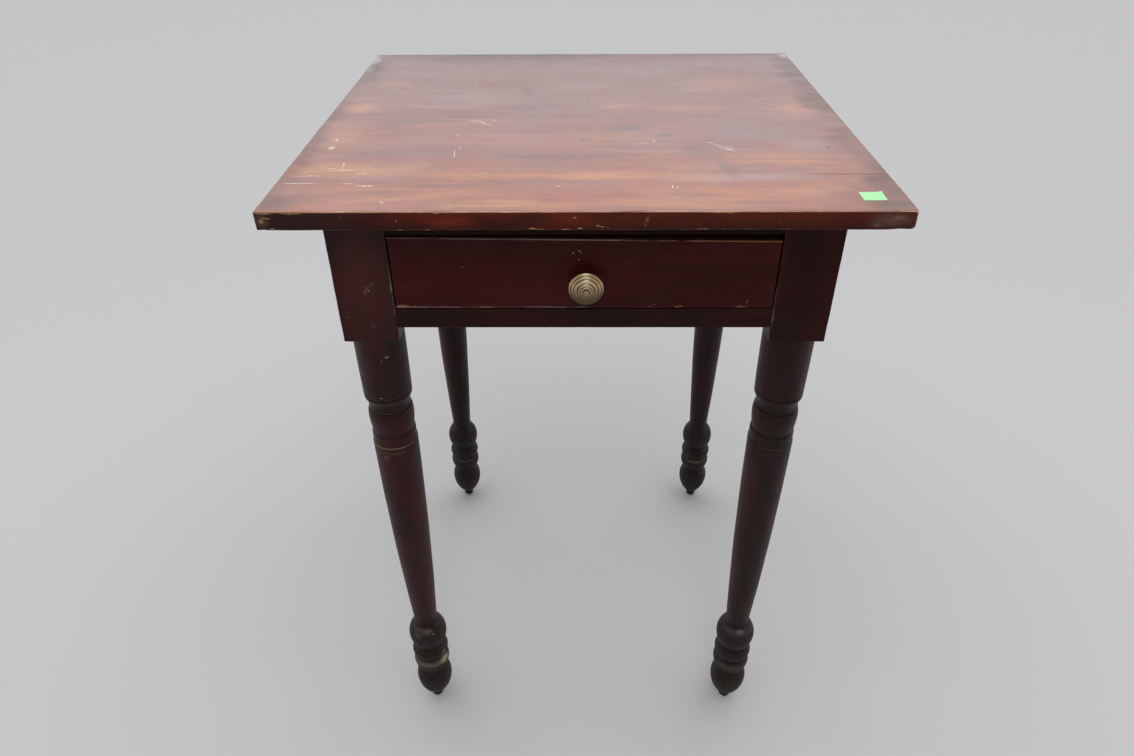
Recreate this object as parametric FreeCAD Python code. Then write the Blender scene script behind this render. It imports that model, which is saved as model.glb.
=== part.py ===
import FreeCAD, Part
import math
import os
from FreeCAD import Rotation, Vector

# A small table of stained wood with one drawer, on four turned legs.
# Millimetres. +X to the right, +Y to the back, +Z up; the origin is on the floor, under the top's middle.
# Everything below is worked out from the sizes in this first part.

# The whole table
table_height = 733.0
top_width = 535.0
top_depth = 507.0
top_thickness = 16.4
overhang_side = 44.0
overhang_front = 29.0

# The three boards of the top; the middle one takes what the other two leave
front_board_width = 79.5
back_board_width = 120.0
top_corner_radius = 2.5
top_arris_radius = 1.3
top_lower_arris_radius = 0.7

# Legs: a square post at the top of each, then the turning
post_side = 52.0
post_length = 126.1
post_arris_radius = 1.0

# Turning, from the floor up: length of each element and the radii that it runs between
nub_length = 10.0
nub_radius = 7.2
nub_end_round = 1.6
nub_neck_radius = 6.4
bulb_foot_radius = 8.6
bulb_length = 54.0
bulb_widest = 36.0
bulb_radius = 22.6
neck_radius = 17.6
neck_length = 4.0
ring_cove_length = 6.0
ring_cove_depth = 0.6
ring_edge_radius = 20.9
lower_ring_length = 18.0
lower_ring_radius = 22.4
ring_gap = 2.0
ring_gap_radius = 19.0
upper_ring_length = 18.0
upper_ring_radius = 22.6
ball_length = 43.0
ball_widest = 20.5
ball_radius = 23.4
ankle_radius = 13.6
shaft_top_radius = 23.3
shaft_belly = 1.9
scribe_spacing = 6.0
scribe_width = 1.2
scribe_depth = 0.7
collar_length = 14.0
collar_top_radius = 22.5
collar_round = 2.2
bead_groove_width = 2.0
bead_groove_radius = 21.2
bead_length = 27.0
bead_widest = 18.5
bead_radius = 23.1
bead_top_radius = 21.9
cove_length = 12.0
cove_depth = 0.9
cove_top_radius = 23.3
band_length = 6.0
band_radius = 24.2
band_top_radius = 23.5
drum_length = 71.5
drum_low_radius = 24.3
drum_high_radius = 25.0

# Aprons at the sides and back, and their tenons
apron_height = 111.1
apron_thickness = 22.0
frame_set_back = 1.0
frame_arris_radius = 0.6
tenon_thickness = 8.0
tenon_length = 30.0
tenon_shoulder = 12.0
mortise_end_gap = 1.0

# Pegs through the apron tenons: eight-sided, two to a tenon
peg_width = 6.5
peg_length = 24.0
peg_spacing = 46.0

# Front rails, laid flat
upper_rail_thickness = 18.0
lower_rail_thickness = 20.0
dovetail_length = 24.0
dovetail_root_width = 26.0
dovetail_end_width = 36.0
twin_tenon_width = 10.0
twin_tenon_length = 24.0
twin_tenon_spacing = 22.0

# Strips inside the frame
runner_shelf = 14.5
runner_tenon_length = 12.0
runner_tenon_thickness = 8.0
runner_tenon_shoulder = 2.0
runner_housing_depth = 6.0
guide_height = 15.0
stop_width = 30.0
stop_depth = 20.0
stop_height = 4.5
stop_inset = 69.5
block_length = 50.0
block_side = 20.0
block_chamfer = 12.0
block_spacing = 110.0

# Drawer
drawer_back_gap = 11.5
drawer_side_gap = 1.0
drawer_lift = 0.3
front_lift = 0.8
front_height = 69.9
front_taper = 3.8
front_thickness = 21.0
front_lap = 6.0
front_arris_radius = 0.8
side_arris_radius = 1.0
side_height = 66.0
side_thickness = 11.0
back_thickness = 11.0
back_drop = 5.0
groove_height = 8.5
groove_width = 5.0
groove_depth = 5.0
bottom_thickness = 8.0
bottom_bevel_width = 30.0
bottom_groove_gap = 0.5
bottom_tongue_gap = 1.0
front_tail_count = 3
back_tail_count = 2
tail_share = 0.62
tail_slope = 0.16
closed_gap = 0.3

# Knob and its screw
knob_height_on_front = 27.1
knob_off_centre = 1.7
knob_base_radius = 8.0
knob_base_thickness = 2.0
knob_base_edge = 1.0
knob_neck_radius = 6.0
knob_neck_length = 5.5
knob_neck_flare = 0.6
knob_back_length = 5.0
knob_back_mid_radius = 11.2
knob_back_mid_length = 1.9
knob_rim_thickness = 2.0
knob_rim_radius = 15.5
knob_rim_round = 0.6
knob_ring_radii = (13.1, 10.6, 7.4, 5.0, 2.8)
knob_ring_rise = 1.5
knob_ring_wall = 0.7
knob_ring_round = 0.8
knob_face_slope = 0.12
knob_groove_width = 0.7
knob_groove_depth = 0.45
knob_screw_radius = 2.05
knob_screw_engagement = 9.0
knob_screw_head_radius = 4.2
knob_screw_head_height = 2.6
knob_screw_head_edge = 1.0
knob_screw_head_flat_radius = 1.3
knob_hole_radius = 2.4
screw_slot_width = 0.9
screw_slot_depth = 1.0

# Wood screws under the top
wood_screw_radius = 2.2
wood_screw_head_radius = 4.4
wood_screw_head_height = 2.6
wood_screw_bite = 10.0
wood_screw_point = 4.0
kicker_screw_margin = 22.0
kicker_screw_count = 3
rail_screw_spacing = 220.0
thread_gap = 0.05

# Cut nails: a square tapering shank under a flat head
nail_shank = 2.4
nail_tip = 1.2
nail_head = 4.6
nail_head_height = 1.2
guide_nail_bite = 13.0
guide_nail_margin = 30.0
guide_nail_count = 3
bottom_nail_bite = 13.0
bottom_nail_margin = 40.0
bottom_nail_count = 3

# Places worked out from the sizes
half_width = top_width / 2 - overhang_side
half_depth = top_depth / 2 - overhang_front
top_underside = table_height - top_thickness
post_bottom = top_underside - post_length
post_inner_x = half_width - post_side
post_inner_y = half_depth - post_side
leg_x = half_width - post_side / 2
leg_y = half_depth - post_side / 2
apron_bottom = top_underside - apron_height
apron_outer_x = half_width - frame_set_back
apron_outer_y = half_depth - frame_set_back
apron_inner_x = apron_outer_x - apron_thickness
apron_inner_y = apron_outer_y - apron_thickness
rail_front_y = -apron_outer_y
rail_back_y = -post_inner_y
upper_rail_bottom = top_underside - upper_rail_thickness
lower_rail_top = apron_bottom + lower_rail_thickness
shelf_inner_x = post_inner_x - runner_shelf

drawer_half_width = post_inner_x - drawer_side_gap
drawer_bottom_z = lower_rail_top + drawer_lift
drawer_front_y = rail_front_y
drawer_front_back_y = drawer_front_y + front_thickness
drawer_rear_y = apron_inner_y - drawer_back_gap
side_top_z = drawer_bottom_z + side_height
front_bottom_z = lower_rail_top + front_lift
inner_half_width = drawer_half_width - side_thickness
groove_bottom_z = drawer_bottom_z + groove_height
panel_top_z = groove_bottom_z + groove_width
panel_bottom_z = panel_top_z - bottom_thickness
back_inner_y = drawer_rear_y - back_thickness
back_top_z = side_top_z - back_drop
knob_z = front_bottom_z + knob_height_on_front

FULL_TURN = 360
# Where the middle of a quarter round lies, from either end's tangent line, as a share of its radius
ROUND_MID = 1 - math.cos(math.pi / 4)
AXIS_UP = Vector(0, 0, 1)
ORIGIN = Vector(0, 0, 0)
SIDES = {"left": -1, "right": 1}


def box(x0, x1, y0, y1, z0, z1):
    """A box between two corners; the two values of a pair may come in either order."""
    low = Vector(min(x0, x1), min(y0, y1), min(z0, z1))
    return Part.makeBox(abs(x1 - x0), abs(y1 - y0), abs(z1 - z0), low)


def mirror_x(shape):
    """The same shape on the other side of the table's middle, left for right."""
    return shape.mirror(ORIGIN, Vector(1, 0, 0))


def mirror_y(shape):
    """The same shape at the other end of the table, front for back."""
    return shape.mirror(ORIGIN, Vector(0, 1, 0))


def on_side(shape, side):
    """A piece made for the right-hand side, or its mirror image for the left."""
    return shape if side > 0 else mirror_x(shape)


def prism(points, direction):
    """A straight-sided solid on a flat outline of points, carried along a direction."""
    wire = Part.makePolygon(points + [points[0]])
    return Part.Face(wire).extrude(direction)


def evenly(low, high, count):
    """Places from low to high, both included, the same distance apart."""
    step = (high - low) / (count - 1) if count > 1 else 0.0
    return [low + step * i for i in range(count)]


def single(shape):
    """What a cut or a fusion leaves, with its faces merged: one solid, unless the cut parts it."""
    merged = shape.removeSplitter()
    return merged.Solids[0] if len(merged.Solids) == 1 else merged


def ease(shape, radius, chosen):
    """The shape with a small round on each edge whose middle the test picks."""
    return shape.makeFillet(radius, [edge for edge in shape.Edges if chosen(edge.CenterOfMass)])


def near(a, b):
    return abs(a - b) < 0.01


class Outline:
    """Half the outline of a turned piece: radius across, height up, edge after edge."""

    def __init__(self, radius, height):
        self.end = Vector(radius, 0, height)
        self.edges = []

    def line(self, radius, height):
        target = Vector(radius, 0, height)
        self.edges.append(Part.LineSegment(self.end, target).toShape())
        self.end = target

    def arc(self, mid_radius, mid_height, radius, height):
        middle = Vector(mid_radius, 0, mid_height)
        target = Vector(radius, 0, height)
        self.edges.append(Part.Arc(self.end, middle, target).toShape())
        self.end = target

    def swell(self, widest_radius, widest_height, radius, height):
        """Two arcs that meet upright at the widest point, each a circle centred level with it."""
        for edge_radius, edge_height in ((self.end.x, self.end.z), (radius, height)):
            depth = widest_radius - edge_radius
            rise = widest_height - edge_height
            circle = (depth ** 2 + rise ** 2) / (2 * depth)
            half_angle = math.atan2(rise, circle - depth) / 2
            mid_radius = widest_radius - circle * (1 - math.cos(half_angle))
            mid_height = widest_height - circle * math.sin(half_angle)
            if near(edge_height, height):
                self.arc(mid_radius, mid_height, radius, height)
            else:
                self.arc(mid_radius, mid_height, widest_radius, widest_height)

    def turned(self):
        """The solid that the outline makes when it turns about the upright axis."""
        return Part.Face(Part.Wire(self.edges)).revolve(ORIGIN, AXIS_UP, FULL_TURN)


# The top

def top_boards():
    """The top as one rounded slab, sawn along its two glue lines into front, middle and back boards."""
    half_x = top_width / 2
    half_y = top_depth / 2
    slab = box(-half_x, half_x, -half_y, half_y, top_underside, table_height)
    slab = ease(slab, top_corner_radius, lambda c: near(abs(c.x), half_x) and near(abs(c.y), half_y))
    slab = ease(slab, top_arris_radius, lambda c: near(c.z, table_height))
    slab = ease(slab, top_lower_arris_radius, lambda c: near(c.z, top_underside))
    front_line = -half_y + front_board_width
    back_line = half_y - back_board_width
    lines = {"front": (-half_y, front_line), "middle": (front_line, back_line), "back": (back_line, half_y)}
    return {
        name: slab.common(box(-half_x, half_x, y0, y1, top_underside, table_height))
        for name, (y0, y1) in lines.items()
    }


# The legs

def turned_part():
    """The turned length of a leg, standing on the floor at the origin, up to the underside of its post."""
    leg = Outline(0, 0)
    leg.line(nub_radius - nub_end_round, 0)
    leg.arc(nub_radius - nub_end_round * ROUND_MID, nub_end_round * ROUND_MID, nub_radius, nub_end_round)
    z = nub_length
    leg.line(nub_neck_radius, z)
    leg.line(bulb_foot_radius, z)

    # Foot bulb and the first neck
    leg.swell(bulb_radius, z + bulb_widest, neck_radius, z + bulb_length)
    z += bulb_length + neck_length
    leg.line(neck_radius, z)

    # Lower ring: a cove under a sharp edge, then a shallow round
    cove_radius = (neck_radius + ring_edge_radius) / 2 - ring_cove_depth
    leg.arc(cove_radius, z + ring_cove_length / 2, ring_edge_radius, z + ring_cove_length)
    z += ring_cove_length
    leg.swell(lower_ring_radius, z + lower_ring_length / 2, ring_gap_radius, z + lower_ring_length)
    z += lower_ring_length + ring_gap
    leg.line(ring_gap_radius, z)

    # Upper ring and the ball over it
    leg.swell(upper_ring_radius, z + upper_ring_length / 2, neck_radius, z + upper_ring_length)
    z += upper_ring_length + ring_gap
    leg.line(neck_radius, z)
    leg.swell(ball_radius, z + ball_widest, ankle_radius, z + ball_length)
    z += ball_length

    # The long shaft takes the height that is left, swelling from the ankle up to two scribed lines
    collar_bottom = post_bottom - drum_length - band_length - cove_length
    collar_bottom -= bead_length + 2 * bead_groove_width + collar_length
    shaft_top = collar_bottom - scribe_spacing
    belly_radius = (ankle_radius + shaft_top_radius) / 2 + shaft_belly
    leg.arc(belly_radius, (z + shaft_top) / 2, shaft_top_radius, shaft_top)
    for line_z in (shaft_top, collar_bottom):
        leg.line(shaft_top_radius - scribe_depth, line_z + scribe_width / 2)
        leg.line(shaft_top_radius, line_z + scribe_width)
        if line_z < collar_bottom:
            leg.line(shaft_top_radius, collar_bottom)

    # Collar, with its top edge rounded over
    z = collar_bottom + collar_length
    leg.line(collar_top_radius, z - collar_round)
    leg.arc(collar_top_radius - collar_round * ROUND_MID, z - collar_round * ROUND_MID, bead_groove_radius, z)

    # The fat bead between two grooves, fullest in its upper half and sharp at its top edge
    z += bead_groove_width
    leg.line(bead_groove_radius, z)
    leg.swell(bead_radius, z + bead_widest, bead_top_radius, z + bead_length)
    z += bead_length
    leg.line(bead_groove_radius, z)
    z += bead_groove_width
    leg.line(bead_groove_radius, z)

    # Cove, half-round band and a scribed line under the drum
    cove_radius = (bead_groove_radius + cove_top_radius) / 2 - cove_depth
    leg.arc(cove_radius, z + cove_length / 2, cove_top_radius, z + cove_length)
    z += cove_length
    leg.swell(band_radius, z + band_length / 2, band_top_radius, z + band_length)
    z += band_length
    leg.line(drum_low_radius, z + scribe_width / 2)
    leg.line(drum_high_radius, post_bottom)
    leg.line(0, post_bottom)
    leg.line(0, 0)
    return leg.turned()


def bare_leg():
    """A leg with its post, before any joint is cut, standing at the right back corner."""
    half = post_side / 2
    post = box(-half, half, -half, half, post_bottom, top_underside)
    post = ease(post, post_arris_radius, lambda c: near(abs(c.x), half) and near(abs(c.y), half))
    post = ease(post, post_arris_radius, lambda c: near(c.z, post_bottom))
    leg = single(post.fuse(turned_part()))
    leg.translate(Vector(leg_x, leg_y, 0))
    return leg


# Aprons, rails and their joints

def side_apron():
    """The right side apron with a tenon at each end."""
    board = box(apron_inner_x, apron_outer_x, -post_inner_y, post_inner_y, apron_bottom, top_underside)
    board = ease(board, frame_arris_radius, lambda c: near(c.x, apron_outer_x) and near(c.z, apron_bottom))
    return single(board.fuse(side_tenons(0)))


def side_tenons(extra):
    """The right side apron's two tenons, as one bar through it; extra lengthens them for their mortises."""
    middle = (apron_inner_x + apron_outer_x) / 2
    reach = post_inner_y + tenon_length + extra
    return box(middle - tenon_thickness / 2, middle + tenon_thickness / 2, -reach, reach,
               apron_bottom + tenon_shoulder, top_underside - tenon_shoulder)


def back_tenons(extra):
    """The back apron's two tenons, as one bar through it; extra lengthens them for their mortises."""
    middle = (apron_inner_y + apron_outer_y) / 2
    reach = post_inner_x + tenon_length + extra
    return box(-reach, reach, middle - tenon_thickness / 2, middle + tenon_thickness / 2,
               apron_bottom + tenon_shoulder, top_underside - tenon_shoulder)


def upper_rail_tail():
    """The dovetail at the right end of the upper rail, let down into the top of the post."""
    middle = (rail_front_y + rail_back_y) / 2
    root = dovetail_root_width / 2
    end = dovetail_end_width / 2
    tip = post_inner_x + dovetail_length
    outline = [
        Vector(post_inner_x, middle - root, upper_rail_bottom),
        Vector(tip, middle - end, upper_rail_bottom),
        Vector(tip, middle + end, upper_rail_bottom),
        Vector(post_inner_x, middle + root, upper_rail_bottom),
    ]
    return prism(outline, Vector(0, 0, upper_rail_thickness))


def twin_tenons(extra):
    """The two short tenons at the right end of the lower rail; extra deepens them for their mortises."""
    middle = (rail_front_y + rail_back_y) / 2
    tenons = []
    for side in (-1, 1):
        y = middle + side * twin_tenon_spacing / 2
        tenons.append(box(post_inner_x, post_inner_x + twin_tenon_length + extra,
                          y - twin_tenon_width / 2, y + twin_tenon_width / 2,
                          apron_bottom, lower_rail_top))
    return tenons


def runner_tenon(extra):
    """The stub tenon at the front of the right runner; extra deepens it for its mortise."""
    middle_z = (apron_bottom + lower_rail_top) / 2
    return box(shelf_inner_x + runner_tenon_shoulder, post_inner_x - runner_tenon_shoulder,
               rail_back_y - runner_tenon_length - extra, rail_back_y,
               middle_z - runner_tenon_thickness / 2, middle_z + runner_tenon_thickness / 2)


def runner():
    """The right runner: full width between the posts, a tongue past the back post, a tenon in front."""
    board = box(shelf_inner_x, apron_inner_x, rail_back_y, post_inner_y, apron_bottom, lower_rail_top)
    tongue = box(shelf_inner_x, post_inner_x, post_inner_y, apron_inner_y + runner_housing_depth,
                 apron_bottom, lower_rail_top)
    return single(board.fuse([tongue, runner_tenon(0)]))


def guide():
    """The right guide, a strip on the runner beside the drawer."""
    return box(post_inner_x, apron_inner_x, -post_inner_y, post_inner_y,
               lower_rail_top, lower_rail_top + guide_height)


def kicker():
    """The right kicker, a strip under the top over the drawer's side."""
    return box(shelf_inner_x, apron_inner_x, -post_inner_y, post_inner_y, upper_rail_bottom, top_underside)


def drawer_stops():
    """Two blocks on the lower rail, just behind the closed drawer front."""
    y = drawer_front_back_y + closed_gap
    stops = []
    for x in (stop_inset - inner_half_width, inner_half_width - stop_inset):
        stops.append(box(x - stop_width / 2, x + stop_width / 2, y, y + stop_depth,
                         lower_rail_top, lower_rail_top + stop_height))
    return stops


def glue_blocks():
    """Blocks rubbed into the corner of back apron and top, their free edge bevelled off."""
    y = apron_inner_y
    z = top_underside
    flat = block_side - block_chamfer
    low = z - block_side
    outline = [(y, z), (y, low), (y - flat, low), (y - block_side, z - flat), (y - block_side, z)]
    blocks = []
    for x in (-block_spacing, 0, block_spacing):
        points = [Vector(x - block_length / 2, py, pz) for py, pz in outline]
        blocks.append(prism(points, Vector(block_length, 0, 0)))
    return blocks


# Fastenings

def peg(head, direction):
    """An eight-sided peg with its head at a point, driven along a direction."""
    radius = peg_width / 2 / math.cos(math.pi / 8)
    turn = Rotation(Vector(0, 0, 1), direction)
    points = []
    for i in range(8):
        angle = math.pi / 8 + i * math.pi / 4
        points.append(head + turn.multVec(Vector(radius * math.cos(angle), radius * math.sin(angle), 0)))
    return prism(points, direction * peg_length)


def tenon_pegs():
    """Two pegs through each apron tenon: from outside the posts at the sides, from behind at the back."""
    middle_z = (apron_bottom + top_underside) / 2
    along = tenon_length / 2
    pegs = []
    for z in (middle_z - peg_spacing / 2, middle_z + peg_spacing / 2):
        for side in (-1, 1):
            for end in (-1, 1):
                head = Vector(side * half_width, end * (post_inner_y + along), z)
                pegs.append(peg(head, Vector(-side, 0, 0)))
            pegs.append(peg(Vector(side * (post_inner_x + along), half_depth, z), Vector(0, -1, 0)))
    return pegs


def wood_screw(x, y, seat_z, gap=0.0):
    """A countersunk screw, head down, driven up into the top; gap gives its hole."""
    shank = wood_screw_radius + gap
    head = wood_screw_head_radius + gap
    tip = top_underside + wood_screw_bite + gap
    screw = Outline(0, seat_z)
    screw.line(head, seat_z)
    screw.line(shank, seat_z + wood_screw_head_height)
    screw.line(shank, tip - wood_screw_point)
    screw.line(0, tip)
    screw.line(0, seat_z)
    solid = screw.turned()
    solid.translate(Vector(x, y, 0))
    if gap == 0:
        slot = box(x - head, x + head, y - screw_slot_width / 2, y + screw_slot_width / 2,
                   seat_z, seat_z + screw_slot_depth)
        solid = solid.cut(slot)
    return solid


def screw_places():
    """Where the top's screws stand: along both kickers, and two in the upper front rail."""
    kicker_x = (shelf_inner_x + apron_inner_x) / 2
    rows = evenly(-post_inner_y + kicker_screw_margin, post_inner_y - kicker_screw_margin, kicker_screw_count)
    places = [(side * kicker_x, y) for side in (-1, 1) for y in rows]
    rail_y = (rail_front_y + rail_back_y) / 2
    return places + [(side * rail_screw_spacing / 2, rail_y) for side in (-1, 1)]


def nail(head, direction, length):
    """A cut nail: flat head with its face at a point, tapering square shank along a direction."""
    turn = Rotation(Vector(0, 0, 1), direction)

    def square(side, depth):
        half = side / 2
        corners = [(-half, -half), (half, -half), (half, half), (-half, half)]
        points = [head + turn.multVec(Vector(a, b, depth)) for a, b in corners]
        return Part.makePolygon(points + [points[0]])

    cap = Part.Face(square(nail_head, 0)).extrude(direction * nail_head_height)
    shank = Part.makeLoft([square(nail_shank, nail_head_height), square(nail_tip, length)], True, True)
    return single(cap.fuse(shank))


def guide_nails():
    """Nails down through each guide into the runner under it."""
    x = (post_inner_x + apron_inner_x) / 2
    head_z = lower_rail_top + guide_height
    rows = evenly(-post_inner_y + guide_nail_margin, post_inner_y - guide_nail_margin, guide_nail_count)
    down = Vector(0, 0, -1)
    length = guide_height + guide_nail_bite
    return [nail(Vector(side * x, y, head_z), down, length) for side in (-1, 1) for y in rows]


def bottom_nails():
    """Nails up through the drawer's bottom into the lower edge of its back."""
    y = (back_inner_y + drawer_rear_y) / 2
    reach = inner_half_width - bottom_nail_margin
    up = Vector(0, 0, 1)
    return [nail(Vector(x, y, panel_bottom_z), up, bottom_thickness + bottom_nail_bite)
            for x in evenly(-reach, reach, bottom_nail_count)]


# Drawer

def tails(z0, z1, count, y_root, y_end, x0, x1):
    """Dovetails between two heights, side by side, wider at y_end than at y_root."""
    pitch = (z1 - z0) / count
    spread = abs(y_end - y_root) * tail_slope
    shapes = []
    for i in range(count):
        middle = z0 + pitch * (i + 0.5)
        root = pitch * tail_share / 2
        end = root + spread
        outline = [
            Vector(x0, y_root, middle - root),
            Vector(x0, y_end, middle - end),
            Vector(x0, y_end, middle + end),
            Vector(x0, y_root, middle + root),
        ]
        shapes.append(prism(outline, Vector(x1 - x0, 0, 0)))
    return shapes


def side_tails_front():
    """The tails at the front of the right drawer side."""
    top = min(side_top_z, front_bottom_z + front_height - front_taper)
    return tails(front_bottom_z, top, front_tail_count, drawer_front_back_y,
                 drawer_front_y + front_lap, inner_half_width, drawer_half_width)


def side_tails_back():
    """The tails at the back of the right drawer side, as thick as the drawer's back."""
    return tails(panel_top_z, back_top_z, back_tail_count, back_inner_y, drawer_rear_y,
                 inner_half_width, drawer_half_width)


def drawer_side():
    """The right side of the drawer: dovetailed at both ends, grooved for the bottom."""
    board = box(inner_half_width, drawer_half_width, drawer_front_back_y, back_inner_y,
                drawer_bottom_z, side_top_z)
    board_middle = (drawer_front_back_y + back_inner_y) / 2
    board = ease(board, side_arris_radius, lambda c: near(c.z, side_top_z) and near(c.y, board_middle))
    heel = box(inner_half_width, drawer_half_width, back_inner_y, drawer_rear_y, drawer_bottom_z, panel_top_z)
    groove = box(inner_half_width, inner_half_width + groove_depth, drawer_front_y, drawer_rear_y,
                 groove_bottom_z, panel_top_z)
    return single(board.fuse([heel] + side_tails_back() + side_tails_front()).cut(groove))


def drawer_front():
    """The drawer's front: its top edge planed down towards the right, its ends cut for the sides' tails."""
    top_left = front_bottom_z + front_height
    top_right = top_left - front_taper
    outline = [
        Vector(-drawer_half_width, drawer_front_y, front_bottom_z),
        Vector(drawer_half_width, drawer_front_y, front_bottom_z),
        Vector(drawer_half_width, drawer_front_y, top_right),
        Vector(-drawer_half_width, drawer_front_y, top_left),
    ]
    front = prism(outline, Vector(0, front_thickness, 0))
    front = ease(front, front_arris_radius, lambda c: near(c.y, drawer_front_y))
    groove = box(-inner_half_width, inner_half_width, drawer_front_back_y - groove_depth, drawer_front_back_y,
                 groove_bottom_z, panel_top_z)
    hole = Part.makeCylinder(knob_hole_radius, front_thickness,
                             Vector(knob_off_centre, drawer_front_y, knob_z), Vector(0, 1, 0))
    sockets = side_tails_front()
    sockets += [mirror_x(tail) for tail in sockets]
    return single(front.cut([groove, hole] + sockets))


def drawer_back():
    """The drawer's back, standing on the bottom between the tails of the sides."""
    board = box(-drawer_half_width, drawer_half_width, back_inner_y, drawer_rear_y, panel_top_z, back_top_z)
    sockets = side_tails_back()
    sockets += [mirror_x(tail) for tail in sockets]
    return board.cut(sockets)


def drawer_bottom():
    """The thin bottom, bevelled underneath so that its edges enter the grooves."""
    half = inner_half_width + groove_depth - bottom_groove_gap
    front = drawer_front_back_y - groove_depth + bottom_groove_gap
    tongue = groove_depth + bottom_tongue_gap
    panel = box(-half, half, front, drawer_rear_y, panel_bottom_z, panel_top_z)

    def bevel(edge, inward):
        """Outline of what is planed off under an edge: a flat tongue, then a slope."""
        return [
            (edge, panel_bottom_z),
            (edge, groove_bottom_z),
            (edge + inward * tongue, groove_bottom_z),
            (edge + inward * bottom_bevel_width, panel_bottom_z),
        ]

    for edge, inward in ((half, -1), (-half, 1)):
        points = [Vector(x, front, z) for x, z in bevel(edge, inward)]
        panel = panel.cut(prism(points, Vector(0, drawer_rear_y - front, 0)))
    points = [Vector(-half, y, z) for y, z in bevel(front, 1)]
    return single(panel.cut(prism(points, Vector(2 * half, 0, 0))))


def knob():
    """A turned brass knob, a little right of centre: base, waist, and a head of rings stepping up to a tip."""
    turned = Outline(0, 0)
    turned.line(knob_base_radius, 0)
    turned.line(knob_base_radius, knob_base_edge)
    flared = knob_neck_radius + knob_neck_flare
    s = knob_base_thickness
    turned.line(flared, s)
    turned.arc(knob_neck_radius, s + knob_neck_length / 2, flared, s + knob_neck_length)
    s += knob_neck_length
    rim_edge = knob_rim_radius - knob_rim_round
    turned.arc(knob_back_mid_radius, s + knob_back_mid_length, rim_edge, s + knob_back_length)
    s += knob_back_length
    turned.arc(knob_rim_radius, s + knob_rim_thickness / 2, rim_edge, s + knob_rim_thickness)
    s += knob_rim_thickness
    for radius in knob_ring_radii:
        face = s + (turned.end.x - radius) * knob_face_slope
        turned.line(radius + knob_groove_width, face)
        turned.line(radius, face - knob_groove_depth)
        turned.line(radius, s + knob_ring_wall)
        turned.arc(radius - knob_ring_round * ROUND_MID, s + knob_ring_rise - knob_ring_wall * ROUND_MID,
                   radius - knob_ring_round, s + knob_ring_rise)
        s += knob_ring_rise
    turned.line(0, s)
    turned.line(0, 0)
    solid = turned.turned()
    hole = Part.makeCylinder(knob_screw_radius + thread_gap, knob_screw_engagement + 1)
    solid = solid.cut(hole)
    solid.rotate(ORIGIN, Vector(1, 0, 0), 90)
    solid.translate(Vector(knob_off_centre, drawer_front_y, knob_z))
    return single(solid)


def knob_screw():
    """The machine screw through the drawer front into the knob, with a round slotted head inside."""
    length = front_thickness + knob_screw_engagement
    screw = Outline(0, 0)
    screw.line(knob_screw_radius, 0)
    screw.line(knob_screw_radius, length)
    screw.line(knob_screw_head_radius, length)
    screw.line(knob_screw_head_radius, length + knob_screw_head_edge)
    top = length + knob_screw_head_height
    dome_width = knob_screw_head_radius - knob_screw_head_flat_radius
    dome_height = knob_screw_head_height - knob_screw_head_edge
    screw.arc(knob_screw_head_radius - dome_width * ROUND_MID, top - dome_height * ROUND_MID,
              knob_screw_head_flat_radius, top)
    screw.line(0, top)
    screw.line(0, 0)
    solid = screw.turned()
    solid.rotate(ORIGIN, Vector(1, 0, 0), -90)
    solid.translate(Vector(knob_off_centre, drawer_front_y - knob_screw_engagement, knob_z))
    head_y = drawer_front_back_y + knob_screw_head_height
    slot = box(knob_off_centre - knob_screw_head_radius, knob_off_centre + knob_screw_head_radius,
               head_y - screw_slot_depth, head_y, knob_z - screw_slot_width / 2, knob_z + screw_slot_width / 2)
    return single(solid.cut(slot))


# Putting the table together: each node's name and its solid or solids

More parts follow.
